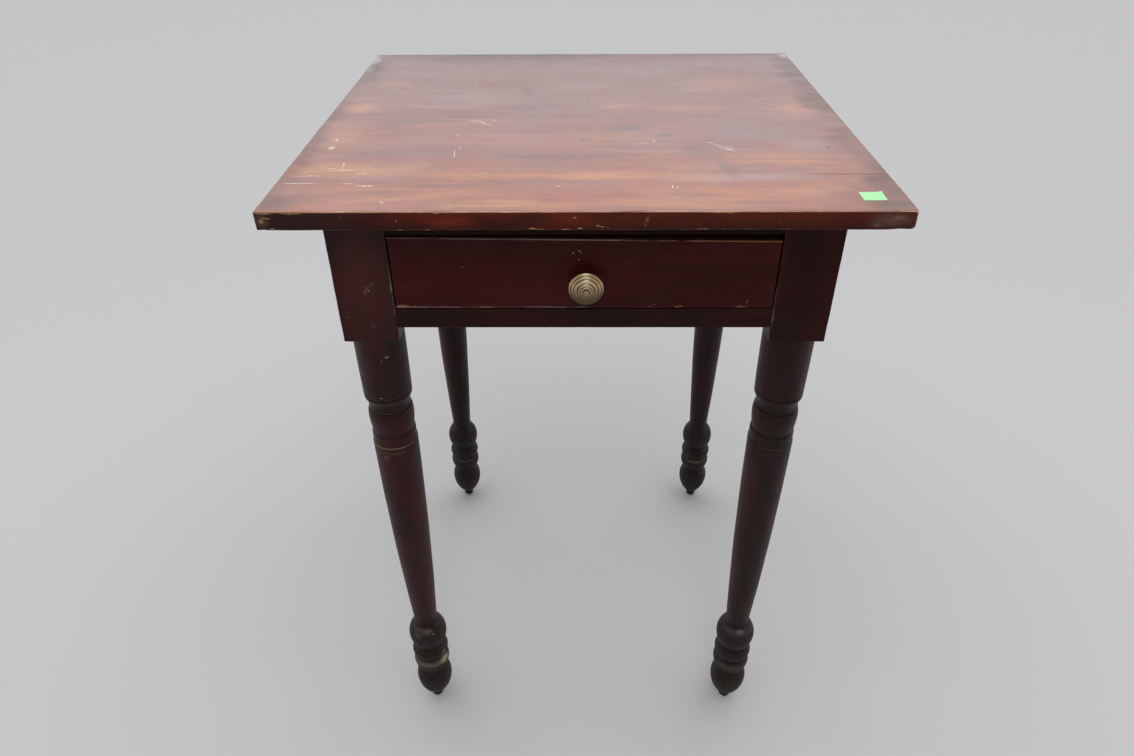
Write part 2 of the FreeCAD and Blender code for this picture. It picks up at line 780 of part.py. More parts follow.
def build():
    pegs = tenon_pegs()
    screws = [(x, y, upper_rail_bottom) for x, y in screw_places()]
    screw_holes = [wood_screw(x, y, z, thread_gap) for x, y, z in screws]
    nails_in_guides = guide_nails()
    nails_in_bottom = bottom_nails()

    nodes = {}
    for name, board in top_boards().items():
        nodes["top_board_" + name] = single(board.cut(screw_holes))

    leg = bare_leg()
    front_joints = [upper_rail_tail()] + twin_tenons(mortise_end_gap) + [side_tenons(mortise_end_gap)]
    back_joints = [back_tenons(mortise_end_gap), side_tenons(mortise_end_gap)]
    for side_name, side in SIDES.items():
        front = mirror_y(leg).cut(front_joints)
        back = leg.cut(back_joints)
        nodes["leg_front_" + side_name] = single(on_side(front, side).cut(pegs))
        nodes["leg_back_" + side_name] = single(on_side(back, side).cut(pegs))

    runner_right = runner()
    runner_tongues = [on_side(runner_right, side) for side in (-1, 1)]
    for side_name, side in SIDES.items():
        nodes["apron_" + side_name] = single(on_side(side_apron(), side).cut(pegs))
        nodes["runner_" + side_name] = single(on_side(runner_right, side).cut(nails_in_guides))
        nodes["guide_" + side_name] = single(on_side(guide(), side).cut(nails_in_guides))
        nodes["kicker_" + side_name] = single(on_side(kicker(), side).cut(screw_holes))

    back_board = box(-post_inner_x, post_inner_x, apron_inner_y, apron_outer_y, apron_bottom, top_underside)
    back_board = ease(back_board, frame_arris_radius,
                      lambda c: near(c.y, apron_outer_y) and near(c.z, apron_bottom))
    nodes["apron_back"] = single(back_board.fuse(back_tenons(0)).cut(pegs + runner_tongues))

    upper = box(-post_inner_x, post_inner_x, rail_front_y, rail_back_y, upper_rail_bottom, top_underside)
    upper = ease(upper, frame_arris_radius,
                 lambda c: near(c.y, rail_front_y) and near(c.z, upper_rail_bottom))
    upper = upper.fuse([upper_rail_tail(), mirror_x(upper_rail_tail())])
    nodes["rail_upper_front"] = single(upper.cut(screw_holes))

    lower = box(-post_inner_x, post_inner_x, rail_front_y, rail_back_y, apron_bottom, lower_rail_top)
    lower = ease(lower, frame_arris_radius, lambda c: near(c.y, rail_front_y) and near(c.x, 0))
    tenons = twin_tenons(0)
    lower = lower.fuse(tenons + [mirror_x(tenon) for tenon in tenons])
    stub = runner_tenon(mortise_end_gap)
    nodes["rail_lower_front"] = single(lower.cut([stub, mirror_x(stub)]))

    nodes["drawer_stops"] = Part.makeCompound(drawer_stops())
    nodes["glue_blocks"] = Part.makeCompound(glue_blocks())
    nodes["tenon_pegs"] = Part.makeCompound(pegs)
    nodes["top_screws"] = Part.makeCompound([wood_screw(x, y, z) for x, y, z in screws])
    nodes["guide_nails"] = Part.makeCompound(nails_in_guides)

    nodes["drawer_front"] = drawer_front()
    for side_name, side in SIDES.items():
        nodes["drawer_side_" + side_name] = single(on_side(drawer_side(), side))
    nodes["drawer_back"] = single(drawer_back().cut(nails_in_bottom))
    nodes["drawer_bottom"] = single(drawer_bottom().cut(nails_in_bottom))
    nodes["bottom_nails"] = Part.makeCompound(nails_in_bottom)
    nodes["knob"] = knob()
    nodes["knob_screw"] = knob_screw()
    return nodes


os.makedirs("parts", exist_ok=True)
for name, shape in build().items():
    shape.exportStep("parts/" + name + ".step")
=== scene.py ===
import math

import bpy
import numpy as np
from mathutils import Matrix, Vector


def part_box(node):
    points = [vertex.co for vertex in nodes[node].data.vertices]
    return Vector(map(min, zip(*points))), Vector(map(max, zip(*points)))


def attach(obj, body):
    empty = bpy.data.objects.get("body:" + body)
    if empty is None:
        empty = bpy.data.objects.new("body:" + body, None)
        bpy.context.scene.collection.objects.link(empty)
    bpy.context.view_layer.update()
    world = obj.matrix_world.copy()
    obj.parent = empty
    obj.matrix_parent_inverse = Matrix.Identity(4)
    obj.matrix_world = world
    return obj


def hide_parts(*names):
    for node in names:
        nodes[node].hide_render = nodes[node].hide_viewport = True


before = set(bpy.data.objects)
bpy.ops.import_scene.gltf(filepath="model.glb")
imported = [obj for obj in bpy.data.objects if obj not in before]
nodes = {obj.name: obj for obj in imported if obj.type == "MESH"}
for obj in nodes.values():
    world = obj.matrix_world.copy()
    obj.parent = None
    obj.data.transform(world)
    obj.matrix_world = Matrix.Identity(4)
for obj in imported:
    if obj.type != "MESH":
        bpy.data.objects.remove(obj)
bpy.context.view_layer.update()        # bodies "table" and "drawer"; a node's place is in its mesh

scene = bpy.context.scene
MM = 0.001               # a millimetre in metres


# CAMERA: a person's view from standing height, a little over the front edge and looking down on
# the top, with a wide lens, so that the legs draw together towards the floor.

eye = (-0.0077, -0.8544, 0.9954)
look_down = 35.31
look_left = 0.72
camera_roll = -0.39
lens_mm = 25.48
sensor_mm = 36.0


def shown(name, data):
    """An object in the scene for a camera, a mesh or a lamp."""
    made = bpy.data.objects.new(name, data)
    scene.collection.objects.link(made)
    return made


camera_data = bpy.data.cameras.new("camera")
camera_data.sensor_width = sensor_mm
camera_data.lens = lens_mm
camera = shown("camera", camera_data)
camera.matrix_world = (
    Matrix.Translation(eye)
    @ Matrix.Rotation(math.radians(look_left), 4, "Z")
    @ Matrix.Rotation(math.radians(90 - look_down), 4, "X")
    @ Matrix.Rotation(math.radians(camera_roll), 4, "Z")
)
scene.camera = camera
scene.view_settings.view_transform = "Standard"


# STUDIO: a pale floor and a pale backdrop all round, soft panels in front and to both sides, a large
# one behind that the top mirrors, a wide soft sky, and a dim room, so that the legs keep a dark middle.
# The side and back panels leave the floor out, and a second sky lights it alone, so that it stays even.

floor_reach = 60.0
floor_colour = (0.6, 0.6, 0.61)
floor_roughness = 0.95
backdrop_radius = 50.0
backdrop_height = 60.0
backdrop_foot = -0.5
backdrop_sides = 96
backdrop_glow = (0.53, 0.535, 0.545)
sky_light = 2.1
floor_light = 0.7
sky_spread = 110.0
sky_tilt = -12.0
lamp_height = 4.0
room_colour = (0.86, 0.92, 1.0)
room_strength = 0.05


class Finish:
    """A finish under construction: each method adds nodes to it and returns the socket they end in."""

    def __init__(self, name):
        self.material = bpy.data.materials.new(name)
        self.material.use_nodes = True
        self.tree = self.material.node_tree
        self.shader = self.tree.nodes["Principled BSDF"]
        self.place = self.tree.nodes.new("ShaderNodeTexCoord").outputs["Object"]
        parts = self.add("SeparateXYZ", {0: self.place})
        self.x, self.y, self.z = parts.outputs
        self.colour = None

    def add(self, kind, inputs, **settings):
        """One node, with its settings, and its inputs linked or given a value."""
        made = self.tree.nodes.new("ShaderNode" + kind)
        for key, value in settings.items():
            setattr(made, key, value)
        for key, value in inputs.items():
            self.feed(made.inputs[key], value)
        return made

    def feed(self, socket, value):
        if isinstance(value, bpy.types.NodeSocket):
            self.tree.links.new(value, socket)
        elif socket.type == "RGBA":
            socket.default_value = (*value, 1.0)
        else:
            socket.default_value = value

    def shade(self, **inputs):
        """Gives the shader's own sockets their values, by name with spaces as underscores."""
        for key, value in inputs.items():
            self.feed(self.shader.inputs[key.replace("_", " ")], value)

    def now(self, name):
        """The socket that one of the shader's inputs takes its value from so far."""
        return self.shader.inputs[name].links[0].from_socket

    def paint(self, colour, *masks):
        """Lays a colour over what is there, as strongly as the masks say when multiplied together."""
        self.colour = self.blend(self.times(*masks), self.colour, colour) if masks else colour
        self.feed(self.shader.inputs["Base Color"], self.colour)

    def field(self, name):
        """A number that the mesh holds for each point."""
        return self.add("Attribute", {}, attribute_name=name).outputs["Fac"]

    def math(self, operation, *values):
        return self.add("Math", dict(enumerate(values)), operation=operation).outputs[0]

    def chain(self, operation, values):
        """One operation on the first two values, then on its result and the next, and so on."""
        result = values[0]
        for value in values[1:]:
            result = self.math(operation, result, value)
        return result

    def times(self, *values):
        return self.chain("MULTIPLY", values)

    def plus(self, *values):
        return self.chain("ADD", values)

    def minus(self, *values):
        return self.chain("SUBTRACT", values)

    def most(self, masks):
        """The largest of several masks."""
        return self.chain("MAXIMUM", masks)

    def noise(self, size, detail=4, shift=(0, 0, 0), stretch=(1, 1, 1), rough=0.55, bend=0):
        """Cloudy noise with features of about a size in metres, drawn out along the axes by stretch."""
        scale = [1 / (size * s) for s in stretch]
        where = self.add("Mapping", {"Vector": self.place, "Scale": scale, "Location": shift})
        made = self.add("TexNoise", {"Vector": where.outputs[0], "Scale": 1, "Detail": detail,
                                     "Roughness": rough, "Distortion": bend})
        return made.outputs["Fac"]

    def fade(self, value, low, high):
        """0 at or below low, 1 at or above high, with a soft change between; low may be the larger."""
        inputs = {"Value": value, "From Min": low, "From Max": high}
        return self.add("MapRange", inputs, interpolation_type="SMOOTHSTEP").outputs[0]

    def ragged(self, size, amount):
        """The place, shifted by cloudy noise of a size by up to an amount, for uneven edges."""
        cloud = self.add("TexNoise", {"Vector": self.place, "Scale": 1 / size, "Detail": 3})
        off = self.add("VectorMath", {0: cloud.outputs["Color"], 1: (0.5, 0.5, 0.5)},
                       operation="SUBTRACT").outputs[0]
        shift = self.add("VectorMath", {0: off, "Scale": 2 * amount}, operation="SCALE").outputs[0]
        return self.add("VectorMath", {0: self.place, 1: shift}, operation="ADD").outputs[0]

    def patch(self, place, centre, half, core=0.3, turn=0, lean=0):
        """1 inside an ellipsoid given in millimetres, fading to 0 at its rim from a core on. It turns
        about z and leans about y by angles in degrees."""
        where = self.add("Mapping", {
            "Vector": place, "Location": [c * MM for c in centre], "Scale": [h * MM for h in half],
            "Rotation": (0, math.radians(lean), math.radians(turn))}, vector_type="TEXTURE")
        length = self.add("VectorMath", {0: where.outputs[0]}, operation="LENGTH")
        return self.fade(length.outputs["Value"], 1, core)

    def blend(self, amount, first, second):
        """Two colours mixed: the first where the amount is 0, the second where it is 1."""
        return self.add("Mix", {0: amount, 6: first, 7: second}, data_type="RGBA").outputs[2]

    def bump(self, height, distance):
        """Relief of a given depth in metres, passed on to the shader."""
        made = self.add("Bump", {"Height": height, "Distance": distance, "Strength": 1})
        self.shade(Normal=made.outputs[0])


def cover(node, finish):
    """Gives a node of the frame one finish all over."""
    nodes[node].data.materials.clear()
    nodes[node].data.materials.append(finish.material)


def surface(name, points, faces, finish):
    """A mesh of one finish, from points in metres, and its object."""
    mesh = bpy.data.meshes.new(name)
    mesh.from_pydata(points, [], faces)
    mesh.materials.append(finish.material)
    return shown(name, mesh)


def lamp(name, kind, energy, placed):
    """A lamp of one kind and strength, put and turned as a matrix says."""
    light = bpy.data.lights.new(name, kind)
    light.energy = energy
    made = shown(name, light)
    made.matrix_world = placed
    return made


def soft_panel(name, place, target, size, watts, colour=(1, 1, 1)):
    """A soft light panel of a width and height in metres, turned to face a target, and out of sight."""
    aim = (Vector(target) - Vector(place)).to_track_quat("-Z", "Y").to_matrix().to_4x4()
    panel = lamp(name, "AREA", watts, Matrix.Translation(place) @ aim)
    panel.data.shape = "RECTANGLE"
    panel.data.size, panel.data.size_y = size
    panel.data.color = colour
    panel.visible_camera = False
    return panel


def sky(name, energy):
    """A wide sun lamp, tilted a little, that stands for soft light from above."""
    tilt = Matrix.Rotation(math.radians(sky_tilt), 4, "X")
    made = lamp(name, "SUN", energy, Matrix.Translation((0, 0, lamp_height)) @ tilt)
    made.data.angle = math.radians(sky_spread)
    return made


floor_finish = Finish("pale_floor")
floor_finish.shade(Base_Color=floor_colour, Roughness=floor_roughness)
corners = [(x * floor_reach, y * floor_reach, 0) for x, y in ((-1, -1), (1, -1), (1, 1), (-1, 1))]
floor = surface("floor", corners, [(0, 1, 2, 3)], floor_finish)

backdrop_finish = Finish("pale_backdrop")
backdrop_finish.shade(Base_Color=(0, 0, 0), Specular_IOR_Level=0, Emission_Color=backdrop_glow,
                      Emission_Strength=1)
angle = np.linspace(0, 2 * np.pi, backdrop_sides, endpoint=False)
rim = np.stack([backdrop_radius * np.cos(angle), backdrop_radius * np.sin(angle)], 1)
wall = [(*xy, z) for z in (backdrop_foot, backdrop_height) for xy in rim.tolist()]
below = np.arange(backdrop_sides)
after = np.roll(below, -1)
sides = np.stack([below, after, after + backdrop_sides, below + backdrop_sides], 1)
lid = (below + backdrop_sides).tolist()
backdrop = surface("backdrop", wall, sides.tolist() + [lid], backdrop_finish)
for ray in ("diffuse", "glossy", "shadow"):
    setattr(backdrop, "visible_" + ray, False)

soft_panel("panel_front", (0.1, -1.9, 2.5), (0, -0.2, 0.65), (0.7, 0.7), 9)
all_but_floor = bpy.data.collections.new("all_but_floor")
all_but_floor.objects.link(floor)
all_but_floor.collection_objects[0].light_linking.link_state = "EXCLUDE"
panels = [soft_panel("panel_behind", (0, 7.0, 3.1), (0, 0, 0.8), (13.0, 5.4), 420)]
for name, x in (("panel_left", -2.3), ("panel_right", 2.3)):
    panels.append(soft_panel(name, (x, 0.4, 1.1), (0, 0, 0.45), (1.8, 2.0), 22, (0.9, 0.95, 1.0)))
for panel in panels:
    panel.light_linking.receiver_collection = all_but_floor
sky("sky", sky_light)
floor_only = bpy.data.collections.new("floor_only")
floor_only.objects.link(floor)
sky("floor_sky", floor_light).light_linking.receiver_collection = floor_only
room = bpy.data.worlds.new("room")
room.use_nodes = True
room.node_tree.nodes["Background"].inputs["Color"].default_value = (*room_colour, 1)
room.node_tree.nodes["Background"].inputs["Strength"].default_value = room_strength
scene.world = room


# THE TOP: three boards glued edge to edge, grain from left to right, their front glue line open
# at the right. Stained red-brown and polished, then worn: orange where the stain is rubbed thin,
# grey at the edges, with dents along the arrises, scratches, drips and dark spots.

top_step = 3.0
top_arris = 1.1
top_arris_spread = 0.5
arris_limits = (0.35, 7.0)
chips_reach = 6.0
worn_corner_round = 3.2
worn_corner_reach = 4.0
top_level = 733.0
front_edge = -253.5
glue_line = -174.0
open_joint_start = 180.0
open_joint_run = 80.0
open_joint_depth = 1.0
open_joint_width = 0.35
glue_face_margin = 2.0
sinking_ends = 4.0
top_hollow = 0.1
sharp_angle = 50.0


def ripples(points, wavelength, seed, count=10):
    """An uneven field from about -1.5 to 1.5: sine waves of one wavelength in seeded directions, summed
    and divided by the root of their number."""
    rng = np.random.default_rng(seed)
    directions = rng.normal(size=(count, 3))
    directions /= np.linalg.norm(directions, axis=1)[:, None]
    phases = rng.uniform(0, 2 * np.pi, count)
    return np.sin(points @ directions.T * (2 * np.pi / wavelength) + phases).sum(axis=1) / np.sqrt(count)


def crowded(low, high, step):
    """Grid lines from low to high, a step apart, and closer and closer towards both ends."""
    near = np.array([0, 0.3, 0.6, 1.0, 1.5, 2.1, 3.0, 4.2, 6.0])
    near = near[near < (high - low) / 2 - 0.5]
    count = max(2, int((high - low - 2 * near[-1]) / step) + 1)
    middle = np.linspace(low + near[-1], high - near[-1], count)
    return np.concatenate([low + near[:-1], middle, (high - near[:-1])[::-1]])


def grid_faces(index):
    """The four-sided faces of a grid, from the numbers of its points."""
    return np.stack([index[:-1, :-1], index[1:, :-1], index[1:, 1:], index[:-1, 1:]], -1).reshape(-1, 4)


def block(low, high, step):
    """A closed box of points and four-sided faces: six grids of crowded lines, merged at the edges."""
    lines = [crowded(low[i], high[i], step) for i in range(3)]
    points, faces, start = [], [], 0
    for axis in range(3):
        a, b = (axis + 1) % 3, (axis + 2) % 3
        across, along = np.meshgrid(lines[a], lines[b], indexing="ij")
        for end in (0, 1):
            grid = np.empty(across.shape + (3,))
            grid[..., a] = across
            grid[..., b] = along
            grid[..., axis] = (low, high)[end][axis]
            index = start + np.arange(across.size).reshape(across.shape)
            faces.append(grid_faces(index) if end else grid_faces(index)[:, ::-1])
            points.append(grid.reshape(-1, 3))
            start += across.size
    points = np.concatenate(points)
    faces = np.concatenate(faces)
    keys = np.round(points * 1000).astype(np.int64)
    first, merged = np.unique(keys, axis=0, return_index=True, return_inverse=True)[1:]
    return points[first], merged.reshape(-1)[faces]


def edge_distance(points, low, high):
    """How far each point of a box's surface is from the box's nearest edge: the middle one of its three
    distances to the faces."""
    to_faces = np.minimum(points - low, high - points)
    return np.sort(to_faces, axis=1)[:, 1]


def rounded(points, low, high, radius):
    """Edges rounded off: each point is drawn to its radius away from the box that is smaller by that
    radius all round."""
    reach = radius[:, None]
    inner = np.clip(points, np.asarray(low) + reach, np.asarray(high) - reach)
    away = points - inner
    length = np.linalg.norm(away, axis=1, keepdims=True)
    return np.where(length > 1e-6, inner + away / np.maximum(length, 1e-6) * reach, points)


def piece(name, points, faces, body, slot, finish, replaced=(), **fields):
    """A smooth-shaded mesh from points in millimetres, with number fields for its finish to read."""
    made = surface(name, (points * MM).tolist(), faces, finish)
    made.data.shade_smooth()
    made.data.set_sharp_from_angle(angle=math.radians(sharp_angle))
    for field, values in fields.items():
        number = made.data.attributes.new(field, "FLOAT", "POINT")
        number.data.foreach_set("value", values.astype(np.float32))
    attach(made, body)
    if replaced:
        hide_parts(*replaced)
    return made


def top_finish():
    """Worn red-brown polish. Streaks are noise drawn out along the grain; the soft zones come with the
    mesh. Scratches and spots are x, y, two half sizes and a turn; marks on the front edge are x, z, two
    half sizes and a lean."""
    f = Finish("top_polish")
    near = f.ragged(0.01, 0.0016)
    soft = f.ragged(0.05, 0.012)
    mauve, orange, tan, smudges, whitened, dulled, sheen, worn_dull = map(f.field, top_zones)
    broad = f.noise(0.04, 4, (3, 1, 0), (3.0, 1, 1), bend=0.4)
    streaks = f.noise(0.01, 4, (0, 7, 0), (16, 1, 1), bend=0.3)
    grain = f.noise(0.0016, 3, stretch=(40, 1, 1))
    deep = 90

    def face_marks(place, core, rows):
        return f.most([f.patch(place, (x, y, top_level), (a, b, deep), core, *turn)
                       for x, y, a, b, *turn in rows])

    def edge_marks(place, core, depth, rows):
        return f.most([f.patch(place, (x, front_edge, z), (a, depth, b), core, 0, *lean)
                       for x, z, a, b, *lean in rows])

    f.paint(f.blend(f.fade(f.y, -0.26, 0.02), (0.345, 0.094, 0.056), (0.235, 0.075, 0.063)))
    f.paint((0.158, 0.056, 0.049), f.fade(f.y, -0.02, 0.2))
    f.paint((0.145, 0.052, 0.05), f.fade(broad, 0.6, 0.3), 0.55)
    f.paint((0.15, 0.072, 0.08), mauve, 0.55)
    f.paint((0.47, 0.16, 0.06), orange, f.fade(broad, 0.22, 0.62), f.fade(f.y, 0.34, -0.14))
    f.paint((0.5, 0.255, 0.1), tan, 0.6)
    mottle = f.noise(0.007, 6, (6, 2, 4), (3.5, 1, 1), 0.7)
    f.paint((0.42, 0.19, 0.12), f.fade(mottle, 0.52, 0.7), 0.28)
    f.paint((0.075, 0.03, 0.03), f.fade(mottle, 0.48, 0.3), 0.32)
    f.paint((0.48, 0.21, 0.11), f.fade(streaks, 0.52, 0.72), f.fade(f.y, 0.2, -0.2), 0.28)
    f.paint((0.1, 0.044, 0.044), f.fade(streaks, 0.46, 0.28), 0.3)

    # Grey bloom along the ends and the back, whitish back corners, faint scratches across the grain
    bloom = f.times(dulled, f.plus(0.6, f.times(f.fade(streaks, 0.3, 0.7), 0.5)))
    f.paint((0.07, 0.052, 0.044), bloom, 0.8)
    f.paint((0.47, 0.49, 0.51), whitened, 0.6)
    crossing = f.noise(0.0014, 2, (1, 1, 1), (1, 60, 1))
    f.paint((0.6, 0.52, 0.48), f.fade(crossing, 0.6, 0.72), f.fade(f.y, -0.1, 0.12), 0.05)

    # Stains, knots and spots
    f.paint((0.052, 0.044, 0.048), smudges, 0.55)
    dots = face_marks(f.place, 0.2, (
        (236, 121, 2, 4), (234, 101, 2.4, 5), (199, -16, 1.6, 3), (211, 11, 2, 4), (255, -81, 1.5, 3),
        (232, -106, 4, 5), (-107, -235, 2, 2), (-220, -78, 2, 3), (-208, 93, 2.4, 6), (137, 183, 2, 4),
        (80, -70, 5, 4), (-2, -83, 5, 3), (6, 40, 1.5, 9)))
    f.paint((0.045, 0.026, 0.024), dots, 0.6)

    # Scratches and flecks through to pale wood
    broken = f.fade(f.noise(0.0026, 2, (4, 4, 4)), 0.34, 0.5)
    scratches = face_marks(near, 0.3, (
        (-247, -193, 19, 1.1, 2), (-205, -194, 9, 0.9, -6), (-188, -199, 10, 1.8, -6),
        (-243, -176, 16, 0.8, 2), (-215, -163, 18, 1), (-218, -150, 0.8, 12, 8),
        (-226, -158, 13, 0.7), (-196, -170, 10, 0.6, 4), (-240, -104, 3.4, 6, -20),
        (-241, -82, 1.6, 5, 5), (-121, -122, 0.7, 16, 3), (-118, -106, 0.6, 9, 14),
        (-107, -26, 17, 0.6, -48), (-101, -32, 13, 0.8, -55), (-94, -38, 9, 0.5, -50),
        (-113, -24, 12, 0.5, -38), (122, -92, 6, 0.9, -50), (134, -105, 15, 0.7, -46),
        (138, -112, 9, 1.1, -46), (128, -100, 9, 0.5, -52), (131, -108, 12, 0.5, -44),
        (140, -106, 8, 0.5, -48), (75, -202, 0.9, 5, -15), (79, -203, 0.6, 4, -15), (-22, -200, 3, 1.2),
        (-167, -235, 5, 1.1, -50), (-142, 178, 4, 1, 20), (-95, -20, 14, 0.5, -30),
        (-88, -46, 6, 0.5, -60), (56, -94, 9, 0.6, 25), (68, -88, 0.6, 8, -20), (-124, -70, 0.6, 5)))
    speckle = f.times(f.fade(f.noise(0.003, 2, (5, 5, 5), (1.6, 1, 1)), 0.66, 0.74),
                      f.fade(f.noise(0.09, 2, (1, 2, 3)), 0.5, 0.68))
    flecks = f.math("MAXIMUM", f.times(scratches, broken), f.times(speckle, 0.3))
    f.paint((0.72, 0.61, 0.49), flecks, 0.88)
    f.paint((0.06, 0.025, 0.022), f.fade(grain, 0.5, 0.3), 0.16)

    # The boards' edges: darker, redder polish, rubbed in places; grey-tan at both ends
    side = f.fade(f.z, 0.7323, 0.7315)
    face_colour = f.colour
    brushed = f.noise(0.012, 4, (2, 8, 1), (4, 1, 1))
    f.paint(f.blend(f.fade(brushed, 0.35, 0.68), (0.045, 0.009, 0.0058), (0.08, 0.012, 0.0066)))
    f.paint((0.094, 0.0165, 0.0085), f.fade(f.x, -0.09, 0.02), 0.75)
    flecked = f.fade(f.noise(0.0026, 3, (3, 3, 8), (2.5, 1, 1)), 0.63, 0.72)
    f.paint((0.36, 0.135, 0.055), flecked, f.fade(brushed, 0.4, 0.62), 0.55)
    warm = edge_marks(soft, 0, deep, ((-112, 725, 46, deep), (-20, 725, 34, deep)))
    f.paint((0.19, 0.024, 0.008), warm, f.fade(brushed, 0.2, 0.55), 0.95)
    f.paint((0.038, 0.015, 0.0135), f.fade(f.x, -0.14, -0.255))
    dull = edge_marks(soft, 0, 20, ((246, 726, 26, 12), (-264, 722, 10, 12)))
    f.paint((0.15, 0.095, 0.075), dull, 0.75)
    pale = edge_marks(near, 0.1, 20, (
        (252, 727, 9, 3), (50, 724.5, 2.4, 7, 12), (-262, 724, 3, 1.4), (236, 720, 9, 1.6)))
    f.paint((0.3, 0.2, 0.135), pale, broken, 0.55)
    f.paint((0.024, 0.0075, 0.0055), f.fade(f.z, 0.7245, 0.717), 0.55)
    f.paint((0.15, 0.021, 0.0095), f.fade(f.z, 0.7235, 0.729), f.fade(f.x, -0.2, -0.13),
            f.fade(brushed, 0.3, 0.58), 0.45)
    chipped = edge_marks(near, 0.4, 8, (
        (-43, 718.2, 3.5, 1.5), (-39, 717.4, 6, 0.8), (96, 717.3, 6, 0.9), (113, 717.2, 2, 0.9),
        (132, 717.2, 5, 0.8), (-16, 717.4, 4, 0.7), (-4, 717.8, 3, 0.7), (11, 720.5, 2.2, 0.8),
        (14, 719.5, 3, 0.7), (-8, 727.5, 2, 0.8), (-150, 717.2, 2, 0.8), (-128, 717.2, 2.5, 0.7),
        (-259, 731.4, 9, 1.5), (-238, 731.8, 13, 1.1), (-258, 727, 5, 0.9), (-262, 724.5, 2, 2.2),
        (-254, 718, 3, 0.8), (-152, 725, 1, 1.4), (117, 732, 5, 1.2), (-120, 731.8, 4, 0.8)))
    f.paint((0.44, 0.25, 0.115), chipped, f.plus(0.35, f.times(broken, 0.6)))
    f.paint(f.blend(side, face_colour, f.colour))

    # The arrises worn to pale wood, golden at the left, and the bare underside
    chance = f.noise(0.0045, 4, (9, 0, 0), (6, 1, 1), 0.65)
    amount = f.plus(f.field("arris"), f.times(f.minus(chance, 0.5), 1.2))
    worn = f.times(f.fade(amount, 0.62, 0.76), f.plus(0.1, f.times(f.fade(f.z, 0.724, 0.7315), 0.85)))
    golden = f.times(f.fade(f.x, -0.185, -0.235), 0.75)
    f.paint(f.blend(golden, (0.76, 0.455, 0.285), (0.62, 0.34, 0.12)), worn)
    under = f.fade(f.z, 0.71674, 0.71664)
    f.paint(f.blend(f.fade(streaks, 0.35, 0.65), (0.2, 0.115, 0.06), (0.3, 0.185, 0.105)), under)

    gloss = f.plus(0.36, f.times(f.noise(0.03, 4, (2, 2, 2), (3, 1, 1)), 0.14), f.times(bloom, 0.1),
                   f.times(under, 0.35), f.times(f.minus(mottle, 0.5), 0.18))
    shine = f.plus(0.47, f.minus(f.times(sheen, 0.1), f.times(worn_dull, 0.1)))
    shine = f.minus(shine, f.plus(f.times(f.fade(f.y, 0.14, 0.24), 0.06), f.times(bloom, 0.08)))
    shine = f.add("Mix", {0: side, 2: shine, 3: 0.11}, data_type="FLOAT").outputs[0]
    f.shade(Roughness=gloss, Specular_IOR_Level=shine)
    f.bump(f.plus(f.times(grain, 0.3), f.times(broad, 0.6)), 0.0003)
    return f


def top_wave(points, to_edge):
    """The polished face is not quite flat: shallow swells along the boards, none at the edges."""
    return top_hollow * ripples(points * (0.25, 1, 0), 60, 3) * np.clip(to_edge / 8, 0, 1)


def stained_zone(points, rows, seed, amount):
    """Soft ellipses (x, y, two half sizes, strength): full strength at the centre, falling to 0 at the
    rim by a cosine, and shifted unevenly by ripples of three sizes up to about an amount."""
    sizes = ((90, 0.5), (34, 0.3), (15, 0.2))
    field = sum(ripples(points, size, seed + k) * share for k, (size, share) in enumerate(sizes))
    uneven = np.stack([field * amount * stretch for stretch in (1.6, 0.6)], 1)
    where = points[:, :2] + uneven
    zone = np.zeros(len(points))
    for x, y, half_x, half_y, strength in rows:
        away = np.hypot((where[:, 0] - x) / half_x, (where[:, 1] - y) / half_y)
        zone = np.maximum(zone, strength * (0.5 + 0.5 * np.cos(np.pi * np.clip(away, 0, 1))))
    return zone


